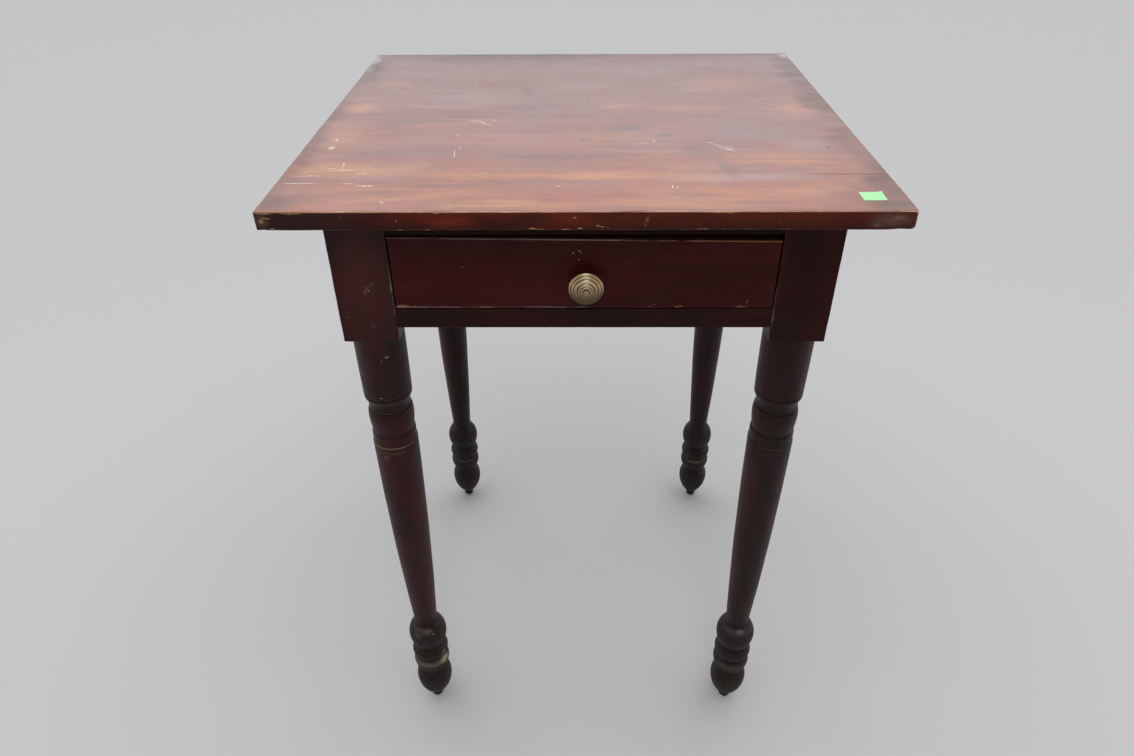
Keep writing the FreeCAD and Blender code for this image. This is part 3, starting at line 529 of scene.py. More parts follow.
top_zones = {
    "mauve": (12, (
        (-40, -128, 110, 26, 1), (160, -55, 80, 62, 1), (-245, -183, 40, 12, 0.8),
        (-258, -238, 36, 24, 0.8), (-165, -121, 75, 13, 0.7), (-40, 20, 70, 90, 1),
        (120, -104, 50, 26, 1), (-140, 60, 60, 30, 1), (50, -105, 50, 22, 0.8),
        (-110, -30, 70, 30, 0.6), (150, -160, 30, 40, 0.5), (120, -118, 70, 16, 0.8),
        (-30, -152, 50, 9, 0.7))),
    "orange": (12, (
        (0, -176, 170, 16, 1), (190, -138, 95, 26, 0.7), (-110, -216, 110, 18, 0.4),
        (-62, -240, 100, 16, 1), (60, -240, 110, 14, 1), (-205, -210, 70, 26, 0.9),
        (-242, -165, 40, 34, 0.5), (55, -131, 50, 12, 0.5), (-170, 24, 80, 17, 0.8),
        (105, 14, 85, 16, 0.55), (216, 24, 46, 56, 1), (-240, -70, 34, 55, 0.4),
        (-140, -36, 80, 16, 0.3), (30, -72, 90, 26, 0.3), (110, -218, 130, 26, 0.8),
        (-240, 20, 36, 30, 0.9), (-222, 112, 36, 30, 0.9), (175, 115, 75, 50, 0.8),
        (195, -206, 50, 20, 0.9), (90, -184, 44, 12, 0.7), (30, 20, 34, 18, 0.6),
        (85, 175, 90, 24, 0.3), (-110, -180, 70, 20, 0.9))),
    "tan": (10, (
        (-205, -164, 85, 26, 1), (-245, 18, 28, 24, 0.9), (-75, -240, 90, 12, 1),
        (-160, -228, 60, 8, 0.7), (90, -242, 70, 10, 0.6))),
    "smudge": (4, (
        (-64, 84, 17, 21, 1), (-127, -8, 22, 10, 1), (46, -50, 30, 16, 1), (82, -70, 16, 12, 1),
        (-2, -83, 13, 6, 1), (-143, 74, 36, 6, 1), (127, -158, 12, 46, 0.8), (11, 27, 13, 20, 0.6),
        (-195, -30, 22, 30, 0.5), (-205, 92, 6, 12, 0.8))),
    "whitened": (4, (
        (-260, 226, 10, 34, 0.9), (-264, 185, 9, 34, 0.45), (261, 240, 9, 14, 1),
        (135, -180, 110, 16, 0.35), (-190, -184, 60, 12, 0.25), (215, -105, 40, 36, 0.2),
        (95, -158, 60, 12, 0.2))),
    "dulled": (10, (
        (266, 60, 30, 360, 0.75), (266, 200, 36, 80, 0.8), (250, -236, 72, 48, 1),
        (266, -175, 34, 85, 0.9), (-264, 170, 40, 110, 0.8), (-267, -80, 28, 280, 0.65),
        (-262, -232, 48, 30, 0.8), (-90, 264, 280, 72, 1), (140, 264, 200, 62, 0.8),
        (25, 244, 60, 26, 0.9), (264, -212, 28, 40, 0.9))),
    "sheen": (14, ((100, -75, 170, 120, 1), (60, 60, 140, 90, 0.5))),
    "worn_dull": (14, ((-190, -170, 150, 110, 1), (-170, -20, 120, 90, 0.9), (-60, -235, 150, 40, 0.7))),
}
top_polish = top_finish()
top_low = np.array(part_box("top_board_front")[0] / MM)
top_high = np.array(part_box("top_board_back")[1] / MM)
chips = (    # where along the lower front arris, how wide, how deep
    (-43, 5, 1.4), (96, 4, 1.2), (114, 3, 1.2), (130, 6, 1.6), (255, 6, 2), (-262, 4, 1.2), (20, 3, 0.8))
for board in ("front", "middle", "back"):
    node = "top_board_" + board
    low, high = (np.array(corner / MM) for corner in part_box(node))
    points, faces = block(low, high, top_step)
    to_edge = edge_distance(points, top_low, top_high)
    radius = top_arris + top_arris_spread * 0.6 * ripples(points, 45, 1) + 0.2 * ripples(points, 9, 2)
    lower_front = (points[:, 2] < low[2] + chips_reach) & (points[:, 1] < top_low[1] + chips_reach)
    for x, width, extra in chips:
        radius += np.where(lower_front, extra * np.exp(-((points[:, 0] - x) / width) ** 2), 0)
    right_front = np.hypot(points[:, 0] - top_high[0], points[:, 1] - top_low[1])
    radius += (worn_corner_round - top_arris) * np.exp(-(right_front / worn_corner_reach) ** 2)
    shaped = rounded(points, top_low, top_high, np.clip(radius, *arris_limits))
    glued = np.zeros(len(points), bool)      # the faces that meet the next board stay flat
    for line, edge in ((low[1], top_low[1]), (high[1], top_high[1])):
        if abs(line - edge) > 1:
            glued |= np.abs(points[:, 1] - line) < 0.05
    shaped[glued, 1] = points[glued, 1]
    flush = glued & (to_edge > glue_face_margin)
    shaped[flush] = points[flush]
    from_joint = np.abs(points[:, 1] - glue_line) / open_joint_width
    opening = np.clip((points[:, 0] - open_joint_start) / open_joint_run, 0, 1)
    joint_open = opening * np.exp(-from_joint ** 2)
    sunk = top_wave(points, to_edge) - open_joint_depth * joint_open
    shaped[:, 2] += sunk * np.clip(1 - (high[2] - points[:, 2]) / sinking_ends, 0, 1)
    zones = {name: stained_zone(points, rows, 20 + 5 * k, amount)
             for k, (name, (amount, rows)) in enumerate(top_zones.items())}
    piece("board_" + board, shaped, faces.tolist(), "table", "top_wood", top_polish, (node,),
          arris=np.exp(-to_edge / 1.6), **zones)


# THE LEGS: each turned from one square of hardwood, with the post left square at the top. Stained
# nearly black-red; the stain is rubbed off the rings, and dirt has settled in the grooves.

leg_axis = (197.5, 198.5)
post_half = 26.0
post_height = 126.1
post_step = 6.0
post_arris = 0.9
post_arris_limits = (0.3, 3.0)
leg_segments = 96
out_of_round = 0.12


def bow(h0, r0, h1, r1, rise=0):
    """A stretch of the outline from one height and radius to another: straight, or a parabola that
    stands out by a rise at its middle, or in if the rise is negative."""
    t = np.linspace(0, 1, max(5 if rise else 3, int(abs(h1 - h0) / 1.2)), endpoint=False)
    return np.stack([h0 + (h1 - h0) * t, r0 + (r1 - r0) * t + 4 * rise * t * (1 - t)], 1)


def swell(h0, r0, h1, r1, widest, radius):
    """A bead: two circles that meet upright at the widest height. A circle that falls a depth d over a
    height h has the radius (d*d + h*h) / 2d."""
    heights = np.linspace(h0, h1, max(9, int((h1 - h0) / 0.8)), endpoint=False)
    edge = np.where(heights < widest, h0, h1)
    depth = radius - np.where(heights < widest, r0, r1)
    circle = (depth ** 2 + (widest - edge) ** 2) / (2 * depth)
    return np.stack([heights, radius - circle + np.sqrt(circle ** 2 - (heights - widest) ** 2)], 1)


def leg_outline(top):
    """The turned outline from the floor up to the post, as heights and radii: each stretch goes from
    where the last one ended to its own height and radius. It is straight, or has a rise too, or is a
    bead with its widest height and radius."""
    band = top - 71.5
    cove = band - 6
    bead = cove - 12
    collar = bead - 45
    height, radius = 0, 0.5
    outline = []
    for next_height, next_radius, *more in (
            (0.01, 5.6), (1.6, 7.2, 0.3), (10, 6.4),  # the foot's tip
            (10.01, 8.6), (64, 17.6, 46, 22.6), (68, 17.6),  # its bulb
            (74, 20.9, -0.6), (92, 19.0, 83, 22.4), (94, 19.0),  # a neck and a ring
            (112, 17.6, 103, 22.6), (114, 17.6),  # another ring
            (157, 13.6, 134.5, 23.4),  # a ball
            (collar - 6, 23.3, 1.9),  # the long shaft
            (collar - 5.4, 22.6), (collar - 4.8, 23.3),  # two scored lines
            (collar, 23.3), (collar + 0.6, 22.6), (collar + 11.8, 22.5),
            (collar + 14, 21.2, 0.4), (collar + 16, 21.2),  # the drum
            (collar + 43, 21.9, collar + 34.5, 23.1), (collar + 43.01, 21.2),
            (bead, 21.2), (cove, 23.3, -0.9),  # bead and cove
            (band, 23.5, cove + 3, 24.2), (band + 0.6, 24.3), (top + 0.8, 25.0)):
        shape = swell if len(more) == 2 else bow
        outline.append(shape(height, radius, next_height, next_radius, *more))
        height, radius = next_height, next_radius
    return np.concatenate(outline + [[[height, radius]]])


def tube_faces(rings, around):
    """The faces of a closed tube whose points run ring by ring, then the middles of its two ends."""
    index = np.arange(rings * around).reshape(rings, around)
    after = np.roll(index, -1, axis=1)
    sides = np.stack([index[:-1], after[:-1], after[1:], index[1:]], -1).reshape(-1, 4)
    first = np.stack([np.full(around, index.size), after[0], index[0]], 1)
    last = np.stack([np.full(around, index.size + 1), index[-1], after[-1]], 1)
    return sides.tolist() + first.tolist() + last.tolist()


def turned(outline, segments, uneven):
    """A closed turned surface about the upright axis: a ring of points at each height of the outline,
    and a point on the axis at each end."""
    angle = np.linspace(0, 2 * np.pi, segments, endpoint=False)
    across = np.tile(angle, len(outline))
    ring = np.stack([np.cos(across), np.sin(across), np.zeros(len(across))], 1)
    centre = ring * np.repeat(outline[:, 1], segments)[:, None]
    centre[:, 2] = np.repeat(outline[:, 0], segments)
    points = centre + ring * (uneven * ripples(centre, 70, 5))[:, None]
    closed = np.concatenate([points, [[0, 0, outline[0, 0]], [0, 0, outline[-1, 0]]]])
    return closed, tube_faces(len(outline), segments)


def ridge_and_groove(outline, reach=2.2):
    """How far each point of the outline stands out from, or lies behind, the outline smoothed over a
    reach: ridges first, grooves second."""
    step = 0.25
    even = np.arange(outline[0, 0], outline[-1, 0], step)
    radius = np.interp(even, outline[:, 0], outline[:, 1])
    window = np.exp(-np.linspace(-2.5, 2.5, int(reach * 5 / step)) ** 2)
    padded = np.pad(radius, len(window), mode="edge")
    smooth = np.convolve(padded, window / window.sum(), mode="same")[len(window):-len(window)]
    proud = np.interp(outline[:, 0], even, radius - smooth)
    return np.clip(proud, 0, None), np.clip(-proud, 0, None)


def stained(name, along, marks=(), tints=(), dark=(0.02, 0.007, 0.006), red=(0.054, 0.0085, 0.0068),
            dusty=0.0, shine=0.16):
    """Dark red-brown stain over hardwood, with the grain along one axis. Marks are worn places, ragged
    and broken up: centre, half sizes, strength, colour and sometimes a lean. Tints are smooth ones of
    the same form: the wood's own tones, and on the legs also painted shade and painted highlights.
    Dusty is how grey the wood gets towards the floor."""
    f = Finish(name)
    stretch = [1.0, 1.0, 1.0]
    stretch["xyz".index(along)] = 12.0
    near = f.ragged(0.01, 0.0025)
    soft = f.ragged(0.016, 0.0012)
    broad = f.noise(0.045, 3, (4, 4, 4), [math.sqrt(s) for s in stretch])
    figure = f.noise(0.007, 4, (1, 6, 2), stretch, bend=0.3)
    pores = f.noise(0.0011, 2, stretch=stretch)
    f.paint(f.blend(f.fade(broad, 0.38, 0.66), dark, red))
    f.paint([0.6 * c for c in dark], f.fade(figure, 0.58, 0.36), 0.35)
    f.paint([0.4 * c for c in dark], f.fade(pores, 0.45, 0.3), 0.3)
    if dusty:
        f.paint((0.0175, 0.014, 0.0128), f.fade(f.z, 0.22, 0.14), dusty)
    for centre, half, strength, tint, *lean in tints:
        f.paint(tint, f.patch(soft, centre, half, 0.1, 0, *lean), strength)
    chance = f.noise(0.012, 4, (8, 1, 5), rough=0.6)
    amount = f.plus(f.field("arris"), f.times(f.minus(chance, 0.5), 1.4))
    f.paint((0.15, 0.105, 0.078), f.fade(amount, 0.72, 1.08), 0.5)
    f.paint((0.007, 0.005, 0.005), f.field("groove"), 0.8)
    f.paint((0.13, 0.09, 0.075), f.fade(f.noise(0.0035, 3, (3, 9, 3)), 0.7, 0.78), 0.25)
    if dusty:
        scuffs = f.noise(0.0026, 4, (6, 3, 9), (3, 3, 0.7), 0.6)
        at_foot = f.fade(f.z, 0.175, 0.15)
        f.paint((0.105, 0.092, 0.072), at_foot, f.fade(scuffs, 0.5, 0.66), 0.2)
        f.paint((0.013, 0.01, 0.009), at_foot, f.fade(scuffs, 0.5, 0.36), 0.55)
    broken = f.fade(f.noise(0.0022, 2, (4, 4, 4)), 0.34, 0.52)
    for centre, half, strength, worn, *lean in marks:
        f.paint(worn, f.patch(near, centre, half, 0.1, 0, *lean), broken, strength)
    gloss = f.plus(0.36, f.times(f.noise(0.02, 4, (2, 2, 2)), 0.18))
    if dusty:
        gloss = f.plus(gloss, f.times(at_foot, 0.12))
        shine = f.plus(shine, f.times(at_foot, 0.02))
    f.shade(Roughness=gloss, Specular_IOR_Level=shine)
    swells = f.noise(0.012, 3, (7, 7, 1))
    f.bump(f.plus(f.times(figure, 0.6), f.times(pores, 0.25), swells), 0.0004)
    return f


def bare_inside(f, masks):
    """Leaves the wood bare where one of the masks is 1, on faces that nobody sees from outside."""
    bare = f.most(masks)
    figure = f.noise(0.006, 4, (1, 6, 2), (3, 3, 3), bend=0.6)
    f.paint(f.blend(f.fade(figure, 0.3, 0.7), (0.19, 0.105, 0.055), (0.31, 0.19, 0.105)), bare)
    f.shade(Roughness=f.plus(f.now("Roughness"), f.times(bare, 0.25)))


tan_wear = (0.42, 0.27, 0.15)
grey_wear = (0.17, 0.16, 0.155)
leg_marks = (
    ((-205, -221, 443), (4.5, 8, 6), 0.6, (0.22, 0.13, 0.1), 20),
    ((-187, -222, 571), (3, 8, 2), 0.7, tan_wear),
    ((-192, -222, 566), (1.3, 8, 1.5), 0.5, tan_wear),
    ((-198, -222, 523), (2.2, 8, 1.5), 0.7, tan_wear),
    ((-194, -224, 608), (3, 3, 2), 0.5, (0.16, 0.1, 0.08)),
    ((-216, -224, 618), (2, 3, 2), 0.5, (0.16, 0.1, 0.08)),
    ((-192.7, -224.5, 644.3), (1.2, 2, 1.2), 1, (0.4, 0.34, 0.32)),
    ((-195.6, -224.5, 648.5), (1.2, 2, 0.9), 1, (0.34, 0.24, 0.23)),
    ((-195.8, -224.5, 643.7), (2.2, 3, 7.5), 0.65, (0.16, 0.125, 0.12), 29),
    ((-189.5, -224.5, 651), (5, 3, 2.4), 0.6, (0.14, 0.11, 0.105), -20),
    ((-171.6, -224.5, 630), (0.9, 3, 16), 0.6, (0.2, 0.17, 0.16)),
    ((171.8, -224, 632), (1.2, 5, 26), 0.6, (0.2, 0.17, 0.16)),
    ((172.5, -224, 616), (1.6, 4, 12), 0.6, grey_wear),
    ((-178, -212, 105), (1.6, 8, 6), 0.9, (0.4, 0.36, 0.33), 25),
    ((-186, -218, 147), (2, 8, 2), 0.8, (0.3, 0.28, 0.25)),
)
leg_tints_and_painted_light = (
    # Painted shade, partly dirt too: a dark band along the tops of the front posts, under the top.
    ((-197, -224, 718), (44, 14, 13), 0.8, (0.0095, 0.006, 0.0058)),
    ((197, -224, 718), (44, 14, 13), 0.75, (0.008, 0.0045, 0.0042)),
    ((-192, -224.5, 646), (11, 6, 10), 0.35, (0.085, 0.055, 0.052)),
    ((-208, -224.5, 649), (13, 6, 3.5), 0.3, (0.065, 0.045, 0.044)),
    ((-172, -224, 657), (1.4, 4, 20), 0.5, (0.2, 0.185, 0.18)),
    ((-172.2, -224, 647), (1.7, 4, 7), 0.8, (0.3, 0.275, 0.265)),
    ((-197, -224, 655), (40, 12, 90), 0.85, (0.074, 0.014, 0.0115)),
    ((197, -224, 655), (40, 12, 90), 0.85, (0.023, 0.0025, 0.002)),
    ((-190, -222, 545), (14, 10, 45), 0.5, (0.036, 0.0095, 0.008)),
    # Painted shade, partly grime too: dark bands in the coves below the front legs' upper rings.
    ((-197, -214, 506), (32, 20, 5.5), 0.7, (0.012, 0.007, 0.0065)),
    ((197, -214, 506), (32, 20, 5.5), 0.6, (0.01, 0.0065, 0.0062)),
    ((-181, -213, 300), (13, 16, 170), 0.55, (0.048, 0.012, 0.0105)),
    ((198, -216, 320), (30, 26, 210), 0.7, (0.017, 0.0075, 0.0068)),
    # Painted shade: both back legs darkened all over.
    ((-197, 198, 300), (50, 50, 520), 0.45, (0.012, 0.008, 0.008)),
    ((197, 198, 300), (50, 50, 520), 0.45, (0.012, 0.008, 0.008)),
    ((-197, -212, 456.3), (30, 22, 1), 0.85, (0.36, 0.26, 0.17)),
    ((-195, -218, 450.2), (24, 14, 0.8), 0.65, (0.19, 0.14, 0.11)),
    ((-197, -218, 470.6), (26, 14, 0.8), 0.5, (0.15, 0.12, 0.1)),
    ((-197, -216, 500.4), (26, 16, 0.8), 0.5, (0.14, 0.11, 0.1)),
    ((-194, -216, 515.2), (24, 16, 0.8), 0.45, (0.15, 0.11, 0.08)),
    ((-196, -216, 519.8), (28, 18, 0.8), 0.55, (0.15, 0.12, 0.1)),
    ((-196, -216, 513.2), (28, 18, 0.8), 0.5, (0.14, 0.11, 0.09)),
    ((194, -216, 456.3), (24, 16, 0.8), 0.45, (0.17, 0.13, 0.1)),
    ((194, -216, 450.2), (24, 16, 0.7), 0.35, (0.15, 0.11, 0.09)),
    ((190, -216, 519.6), (24, 16, 0.7), 0.4, (0.15, 0.13, 0.12)),
    ((-200, -214, 151), (19, 14, 7.5), 0.5, (0.12, 0.105, 0.074), 10),
    ((-193, -218, 152), (9, 8, 4), 0.5, (0.24, 0.205, 0.13)),
    ((-205, -216, 144), (9, 8, 8), 0.4, (0.12, 0.115, 0.1), 20),
    ((-198, -214, 86.5), (40, 28, 7), 0.85, (0.155, 0.135, 0.105)),
    ((-179, -208, 87.5), (12, 12, 7), 0.9, (0.4, 0.32, 0.2)),
    ((-222, -196, 90), (7, 14, 4), 0.5, (0.22, 0.19, 0.14)),
    ((193, -216, 84), (34, 24, 6.5), 0.55, (0.105, 0.084, 0.076)),
    # Painted highlights: a pale ring and a bright spot on top of the right front foot's ball.
    ((197, -210, 150), (24, 18, 8), 0.65, (0.085, 0.09, 0.1)),
    ((199, -217, 153), (8, 7, 4), 0.5, (0.26, 0.26, 0.27)),
    ((197, 178, 89), (28, 20, 4.4), 0.6, (0.15, 0.125, 0.08)),
    ((-197, 178, 90), (28, 20, 4.4), 0.45, (0.12, 0.11, 0.1)),
)


def leg_finish():
    """The stain with the legs' own wear and tints, among them painted shade and painted highlights,
    duller on the right front post, and bare where the posts stand inside the frame, behind the drawer's
    front and the aprons."""
    f = stained("leg_stain", "z", leg_marks, leg_tints_and_painted_light, dusty=0.75)
    right_post = f.times(f.fade(f.x, 0.15, 0.16), f.fade(f.z, 0.588, 0.591))
    f.shade(Specular_IOR_Level=f.minus(f.now("Specular IOR Level"), f.times(right_post, 0.06)))
    from_middle = f.math("ABSOLUTE", f.x)
    inner_x = f.fade(from_middle, 0.1722, 0.1718)
    inner_y = f.fade(f.math("ABSOLUTE", f.y), 0.1732, 0.1728)
    on_post = f.fade(f.z, 0.604, 0.608)
    in_case = f.times(f.fade(f.y, -0.212, -0.2), f.fade(f.y, 0.2225, 0.2215))
    within_sides = f.fade(from_middle, 0.2215, 0.2205)
    bare_inside(f, [f.times(inner_x, on_post, in_case), f.times(inner_y, on_post, within_sides)])
    return f


leg_stain = leg_finish()
for fore, sy in (("front", -1), ("back", 1)):
    for side, sx in (("left", -1), ("right", 1)):
        node = f"leg_{fore}_{side}"
        top = (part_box(node)[1] / MM)[2]
        axis = np.array((sx * leg_axis[0], sy * leg_axis[1]))
        post_bottom = top - post_height
        post_low = np.append(axis - post_half, post_bottom)
        post_high = np.append(axis + post_half, top)
        points, faces = block(post_low, post_high, post_step)
        to_edge = edge_distance(points, post_low, post_high)
        seed = 10 + 2 * (sx > 0) + 4 * (sy > 0)
        radius = post_arris + 0.3 * ripples(points, 30, seed) + 0.15 * ripples(points, 8, seed + 1)
        post = rounded(points, post_low, post_high, np.clip(radius, *post_arris_limits))
        outline = leg_outline(post_bottom)
        leg, leg_faces = turned(outline, leg_segments, out_of_round)
        leg[:, :2] += axis
        rings, grooves = (np.append(np.repeat(proud, leg_segments), [0, 0])
                          for proud in ridge_and_groove(outline))
        all_faces = faces.tolist() + [[i + len(post) for i in face] for face in leg_faces]
        piece("turned_" + node, np.concatenate([post, leg]), all_faces, "table", "frame_wood", leg_stain,
              (node,), arris=np.concatenate([np.exp(-to_edge / 1.2), np.clip(rings / 0.5, 0, 1)]),
              groove=np.concatenate([np.zeros(len(post)), np.clip(grooves / 0.5, 0, 1)]))


# APRONS AND FRONT RAILS: flat hardwood boards tenoned into the posts, stained outside only. The rails
# run above and below the drawer; the upper one is stained darker, partly for dirt and partly as painted
# shade from the top above it, and is duller.

# The upper rail's darker stain is partly dirt and partly painted shade from the overhanging top.
upper_dirt_and_shade_tone = {"dark": (0.015, 0.0042, 0.0034), "red": (0.024, 0.0052, 0.0042), "shine": 0.07}
lower_tone = {"dark": (0.02, 0.0042, 0.0034), "red": (0.04, 0.0052, 0.004), "shine": 0.11}
for node, along, across, outside, within, tone in (
        ("apron_left", "y", "x", -220.5, -219.0, {}),
        ("apron_right", "y", "x", 220.5, 219.0, {}),
        ("apron_back", "x", "y", 220.5, 219.0, {}),
        ("rail_upper_front", "x", "y", -215.0, -200.0, upper_dirt_and_shade_tone),
        ("rail_lower_front", "x", "y", -215.0, -200.0, lower_tone)):
    finish = stained(node + "_stain", along, **tone)
    bare_inside(finish, [finish.fade(getattr(finish, across), outside * MM, within * MM)])
    cover(node, finish)


# INSIDE STRIPS AND BLOCKS: unstained softwood, brown with age, sawn and not planed. The runners
# carry the drawer, the guides keep it straight, the kickers stop it tipping.

def softwood(name, along, tone=1.0):
    """Bare softwood: pale and brown growth rings drawn out along the grain, with grime in patches."""
    f = Finish(name)
    stretch = [1.0, 1.0, 1.0]
    stretch["xyz".index(along)] = 22.0
    rings = f.noise(0.01, 5, (2, 1, 0), stretch, bend=0.9)
    fibres = f.noise(0.0012, 3, stretch=stretch)
    pale, brown, dark = ([tone * c for c in colour] for colour in (
        (0.25, 0.145, 0.074), (0.36, 0.22, 0.118), (0.13, 0.07, 0.035)))
    f.paint(f.blend(f.fade(rings, 0.3, 0.7), pale, brown))
    f.paint(dark, f.fade(fibres, 0.5, 0.3), 0.4)
    f.paint((0.08, 0.05, 0.03), f.fade(f.noise(0.05, 4, (5, 0, 1)), 0.5, 0.75), 0.5)
    f.shade(Roughness=0.72, Specular_IOR_Level=0.3)
    f.bump(f.plus(rings, f.times(fibres, 0.5)), 0.0004)
    return f


strip_wood = softwood("strip_softwood", "y", 0.8)
for strip in ("runner", "guide", "kicker"):
    cover(strip + "_left", strip_wood)
    cover(strip + "_right", strip_wood)
block_wood = softwood("block_softwood", "x", 0.8)
cover("drawer_stops", block_wood)
cover("glue_blocks", block_wood)


# FASTENINGS: wood screws up through kickers and upper rail into the top, cut nails in the guides and
# in the drawer's bottom, and the knob's machine screw. The iron is brown-black with age.

iron = Finish("old_iron")
rust = iron.fade(iron.noise(0.004, 4), 0.45, 0.7)
iron.paint(iron.blend(rust, (0.075, 0.068, 0.062), (0.14, 0.065, 0.032)))
iron.shade(Metallic=0.7, Roughness=iron.plus(0.42, iron.times(rust, 0.3)))
iron.bump(iron.noise(0.0012, 3), 0.0002)
for node in ("top_screws", "guide_nails", "bottom_nails", "knob_screw"):
    cover(node, iron)


# THE PEGS THROUGH THE TENONS OF THE APRONS: riven, so eight-sided and not quite round, driven from
# outside, and now standing a little proud because the posts have shrunk round them.

peg_across = 6.5
peg_sides = 8
peg_proud = 0.4
peg_inside = 6.0
peg_heights = (638.05, 684.05)
peg_from_axis = 11.0
peg_stain = stained("peg_stain", "z", dark=(0.016, 0.008, 0.007), red=(0.034, 0.0105, 0.009))


def peg_head(place, outward, seed):
    """A stub of a few sides along an outward direction, its face domed in three rings."""
    rng = np.random.default_rng(seed)
    up = np.array((0, 0, 1))
    sideways = np.cross(up, outward)
    angle = (np.arange(peg_sides) + 0.5) * 2 * np.pi / peg_sides + rng.uniform(-0.12, 0.12, peg_sides)
    reach = peg_across / 2 / math.cos(math.pi / peg_sides) * rng.uniform(0.95, 1.0, peg_sides)
    spoke = (np.cos(angle)[:, None] * sideways + np.sin(angle)[:, None] * up) * reach[:, None]
    rings = ((1.0, -peg_inside), (1.0, 0.15), (0.86, 0.32), (0.45, peg_proud))
    points = [place + spoke * share + outward * out for share, out in rings]
    ends = [[place - outward * peg_inside], [place + outward * peg_proud]]
    return np.concatenate(points + ends), tube_faces(len(rings), peg_sides)


peg_points = []
peg_faces = []
side_face, back_face = leg_axis[0] + post_half, leg_axis[1] + post_half
heads = [((sx * side_face, sy * (leg_axis[1] - peg_from_axis)), (sx, 0, 0))
         for sx in (-1, 1) for sy in (-1, 1)]
heads += [((sx * (leg_axis[0] - peg_from_axis), back_face), (0, 1, 0)) for sx in (-1, 1)]
for k, ((x, y), outward) in enumerate(heads):
    for level, z in enumerate(peg_heights):
        points, faces = peg_head(np.array((x, y, z)), np.array(outward), 100 + 2 * k + level)
        peg_faces += [[i + len(points) * len(peg_points) for i in face] for face in faces]
        peg_points.append(points)
piece("peg_heads", np.concatenate(peg_points), peg_faces, "table", "frame_wood", peg_stain,
      ("tenon_pegs",))


# THE DRAWER: a stained hardwood front dovetailed to softwood sides and back, with a thin bottom
# slid into grooves. Its arris is rubbed to tan wood along the top, more to the right.

front_face = -223.5
front_marks = [((x, front_face, z), half, *more) for x, z, half, *more in (
    (-10, 681, (1.5, 4, 1.2), 0.8, tan_wear),
    (-4, 683, (3, 4, 0.9), 0.7, tan_wear, 25),
    (-5, 675, (1.6, 4, 1.6), 0.7, tan_wear),
    (-164, 627.4, (8, 6, 3.4), 1, (0.46, 0.2, 0.075)),
    (-150, 626.8, (9, 6, 1.8), 0.9, (0.3, 0.2, 0.13)),
    (-146, 626.4, (14, 6, 0.9), 0.8, (0.24, 0.2, 0.16)),
    (-19, 627, (7, 6, 1.2), 0.8, (0.28, 0.15, 0.09)),
    (86, 627.5, (5, 6, 1.8), 0.9, (0.36, 0.16, 0.1)),
    (142, 627.5, (7, 6, 2.5), 0.6, (0.3, 0.16, 0.11)),
    (147, 633, (1.2, 6, 3), 0.6, (0.24, 0.14, 0.1), 20),
    (60, 629, (9, 6, 0.8), 0.6, (0.2, 0.12, 0.09), -20),
    (-108, 668, (2.2, 4, 0.9), 0.6, (0.22, 0.17, 0.14)),
    (173, 684, (1, 4, 10), 0.6, tan_wear),
)]


def drawer_front_finish():
    """The stain, redder than on the frame. By the distance below the top edge, which slopes down to the
    right, the arris is rubbed to pale wood; the lower arris is scuffed at the left."""
    f = stained("drawer_front_stain", "x", front_marks, dark=(0.048, 0.0062, 0.0048),
                red=(0.07, 0.0074, 0.005), shine=0.1)
    below_top = f.minus(0.6943, f.times(f.x, 0.01114), f.z)
    thin = f.noise(0.006, 4, (1, 1, 1), (6, 1, 1), 0.6)
    f.paint((0.3, 0.15, 0.095), f.fade(below_top, 0.0005, 0.0001), f.fade(f.y, -0.2232, -0.2222))
    more_at_right = f.plus(0.35, f.times(f.fade(f.x, -0.25, 0.15), 0.6))
    f.paint(f.blend(f.fade(f.x, 0.06, 0.11), (0.6, 0.42, 0.36), (0.5, 0.24, 0.11)),
            f.fade(below_top, 0.0014, 0.0005), f.fade(thin, 0.34, 0.52), f.fade(f.y, -0.2203, -0.2216),
            more_at_right)
    above_bottom = f.minus(f.z, 0.6263)
    f.paint((0.23, 0.17, 0.14), f.fade(above_bottom, 0.0026, 0.001), f.fade(thin, 0.42, 0.62),
            f.fade(f.x, 0.12, -0.02), 0.8)
    bare_inside(f, [f.fade(f.y, -0.2045, -0.2035)])
    return f


cover("drawer_front", drawer_front_finish())
side_wood = softwood("drawer_side_softwood", "y")
cover("drawer_side_left", side_wood)
cover("drawer_side_right", side_wood)
cross_wood = softwood("drawer_back_softwood", "x")
cover("drawer_back", cross_wood)
cover("drawer_bottom", cross_wood)


# THE KNOB: turned brass, a stepped cone of rings on a short waist, held by a screw from inside the
# drawer's front. It is dulled by handling and dark in the steps; painted shade darkens its lower half,
# and a painted highlight runs down the middle of its upper half.

knob_axis = (1.7, 653.4)
ring_radii = (13.1, 10.6, 7.4, 5.0, 2.8)


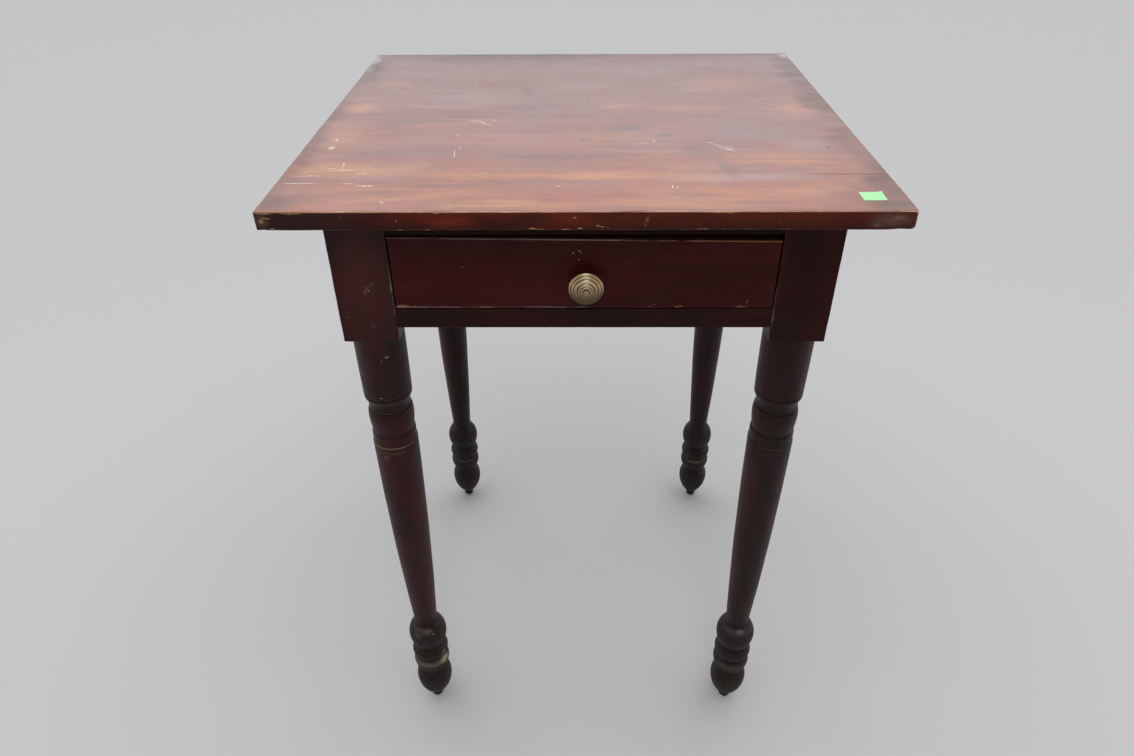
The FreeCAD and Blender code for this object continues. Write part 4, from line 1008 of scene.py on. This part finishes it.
def knob_finish():
    """Old brass, by the distance from the knob's axis: grime in the steps, painted shade that makes it
    dark below and pale above, tarnish, a painted highlight over the middle, and a red-brown cap."""
    f = Finish("aged_brass")
    aside = f.minus(f.x, knob_axis[0] * MM)
    up = f.minus(f.z, knob_axis[1] * MM)
    from_axis = f.math("SQRT", f.plus(f.times(aside, aside), f.times(up, up)))
    grime = f.most([f.fade(f.math("ABSOLUTE", f.minus(from_axis, (radius + 0.2) * MM)), 0.0009, 0.0001)
                    for radius in ring_radii])
    tarnish = f.fade(f.noise(0.005, 4, (1, 2, 1)), 0.38, 0.68)
    # Painted shade: the brass colour is dark in the lower half and pale in the upper.
    f.paint(f.blend(f.fade(up, -0.01, 0.01), (0.115, 0.077, 0.04), (0.68, 0.49, 0.275)))
    f.paint((0.23, 0.185, 0.105), tarnish, 0.4)
    # Painted highlight: a pale streak down the middle of the upper half.
    f.paint((0.93, 0.77, 0.55), f.fade(f.math("ABSOLUTE", aside), 0.0065, 0),
            f.fade(up, -0.002, 0.003), 0.85)
    f.paint((0.33, 0.205, 0.155), f.fade(from_axis, 0.0046, 0.0034), 0.9)
    f.paint((0.08, 0.056, 0.03), grime, f.fade(up, -0.008, 0.002), 0.12)
    f.shade(Metallic=0.8, Roughness=f.plus(0.28, f.times(tarnish, 0.18)))
    f.bump(f.noise(0.002, 3), 0.0001)
    return f


cover("knob", knob_finish())


# A DEALER'S STICKER: a small blank square of green paper, stuck on the top near its right front
# corner. Its right edge has come loose and curls up.

sticker_centre = (238.5, -223.4)
sticker_half = (9.5, 8.9)
sticker_steps = 21
sticker_above = 0.12
sticker_lift = 0.9
sticker_thickness = 0.1
loose_from = 0.5
paper = Finish("green_paper")
paper.shade(Base_Color=(0.46, 0.88, 0.46), Roughness=0.75, Specular_IOR_Level=0.2)
share = np.linspace(-1, 1, sticker_steps)
across, along = (grid.ravel() for grid in np.meshgrid(share, share, indexing="ij"))
sheet = np.stack([sticker_centre[0] + sticker_half[0] * across,
                  sticker_centre[1] + sticker_half[1] * along, np.full(across.size, top_level)], 1)
sheet[:, 2] += top_wave(sheet, np.full(len(sheet), 20.0)) + sticker_above
curl = np.clip(across - loose_from, 0, 1) ** 2 / loose_from ** 2
sheet[:, 2] += sticker_lift * curl * (0.6 + 0.4 * along)
index = np.arange(across.size).reshape(sticker_steps, sticker_steps)
quads = grid_faces(index)
rim = np.concatenate([index[:-1, 0], index[-1, :-1], index[:0:-1, -1], index[0, :0:-1]])
after = np.roll(rim, -1)
count = across.size
walls = np.stack([after, rim, rim + count, after + count], 1)
lower = sheet - (0, 0, sticker_thickness)
all_faces = np.concatenate([quads, quads[:, ::-1] + count, walls[:, ::-1]])
piece("lot_sticker", np.concatenate([sheet, lower]), all_faces.tolist(), "table", "paper", paper)
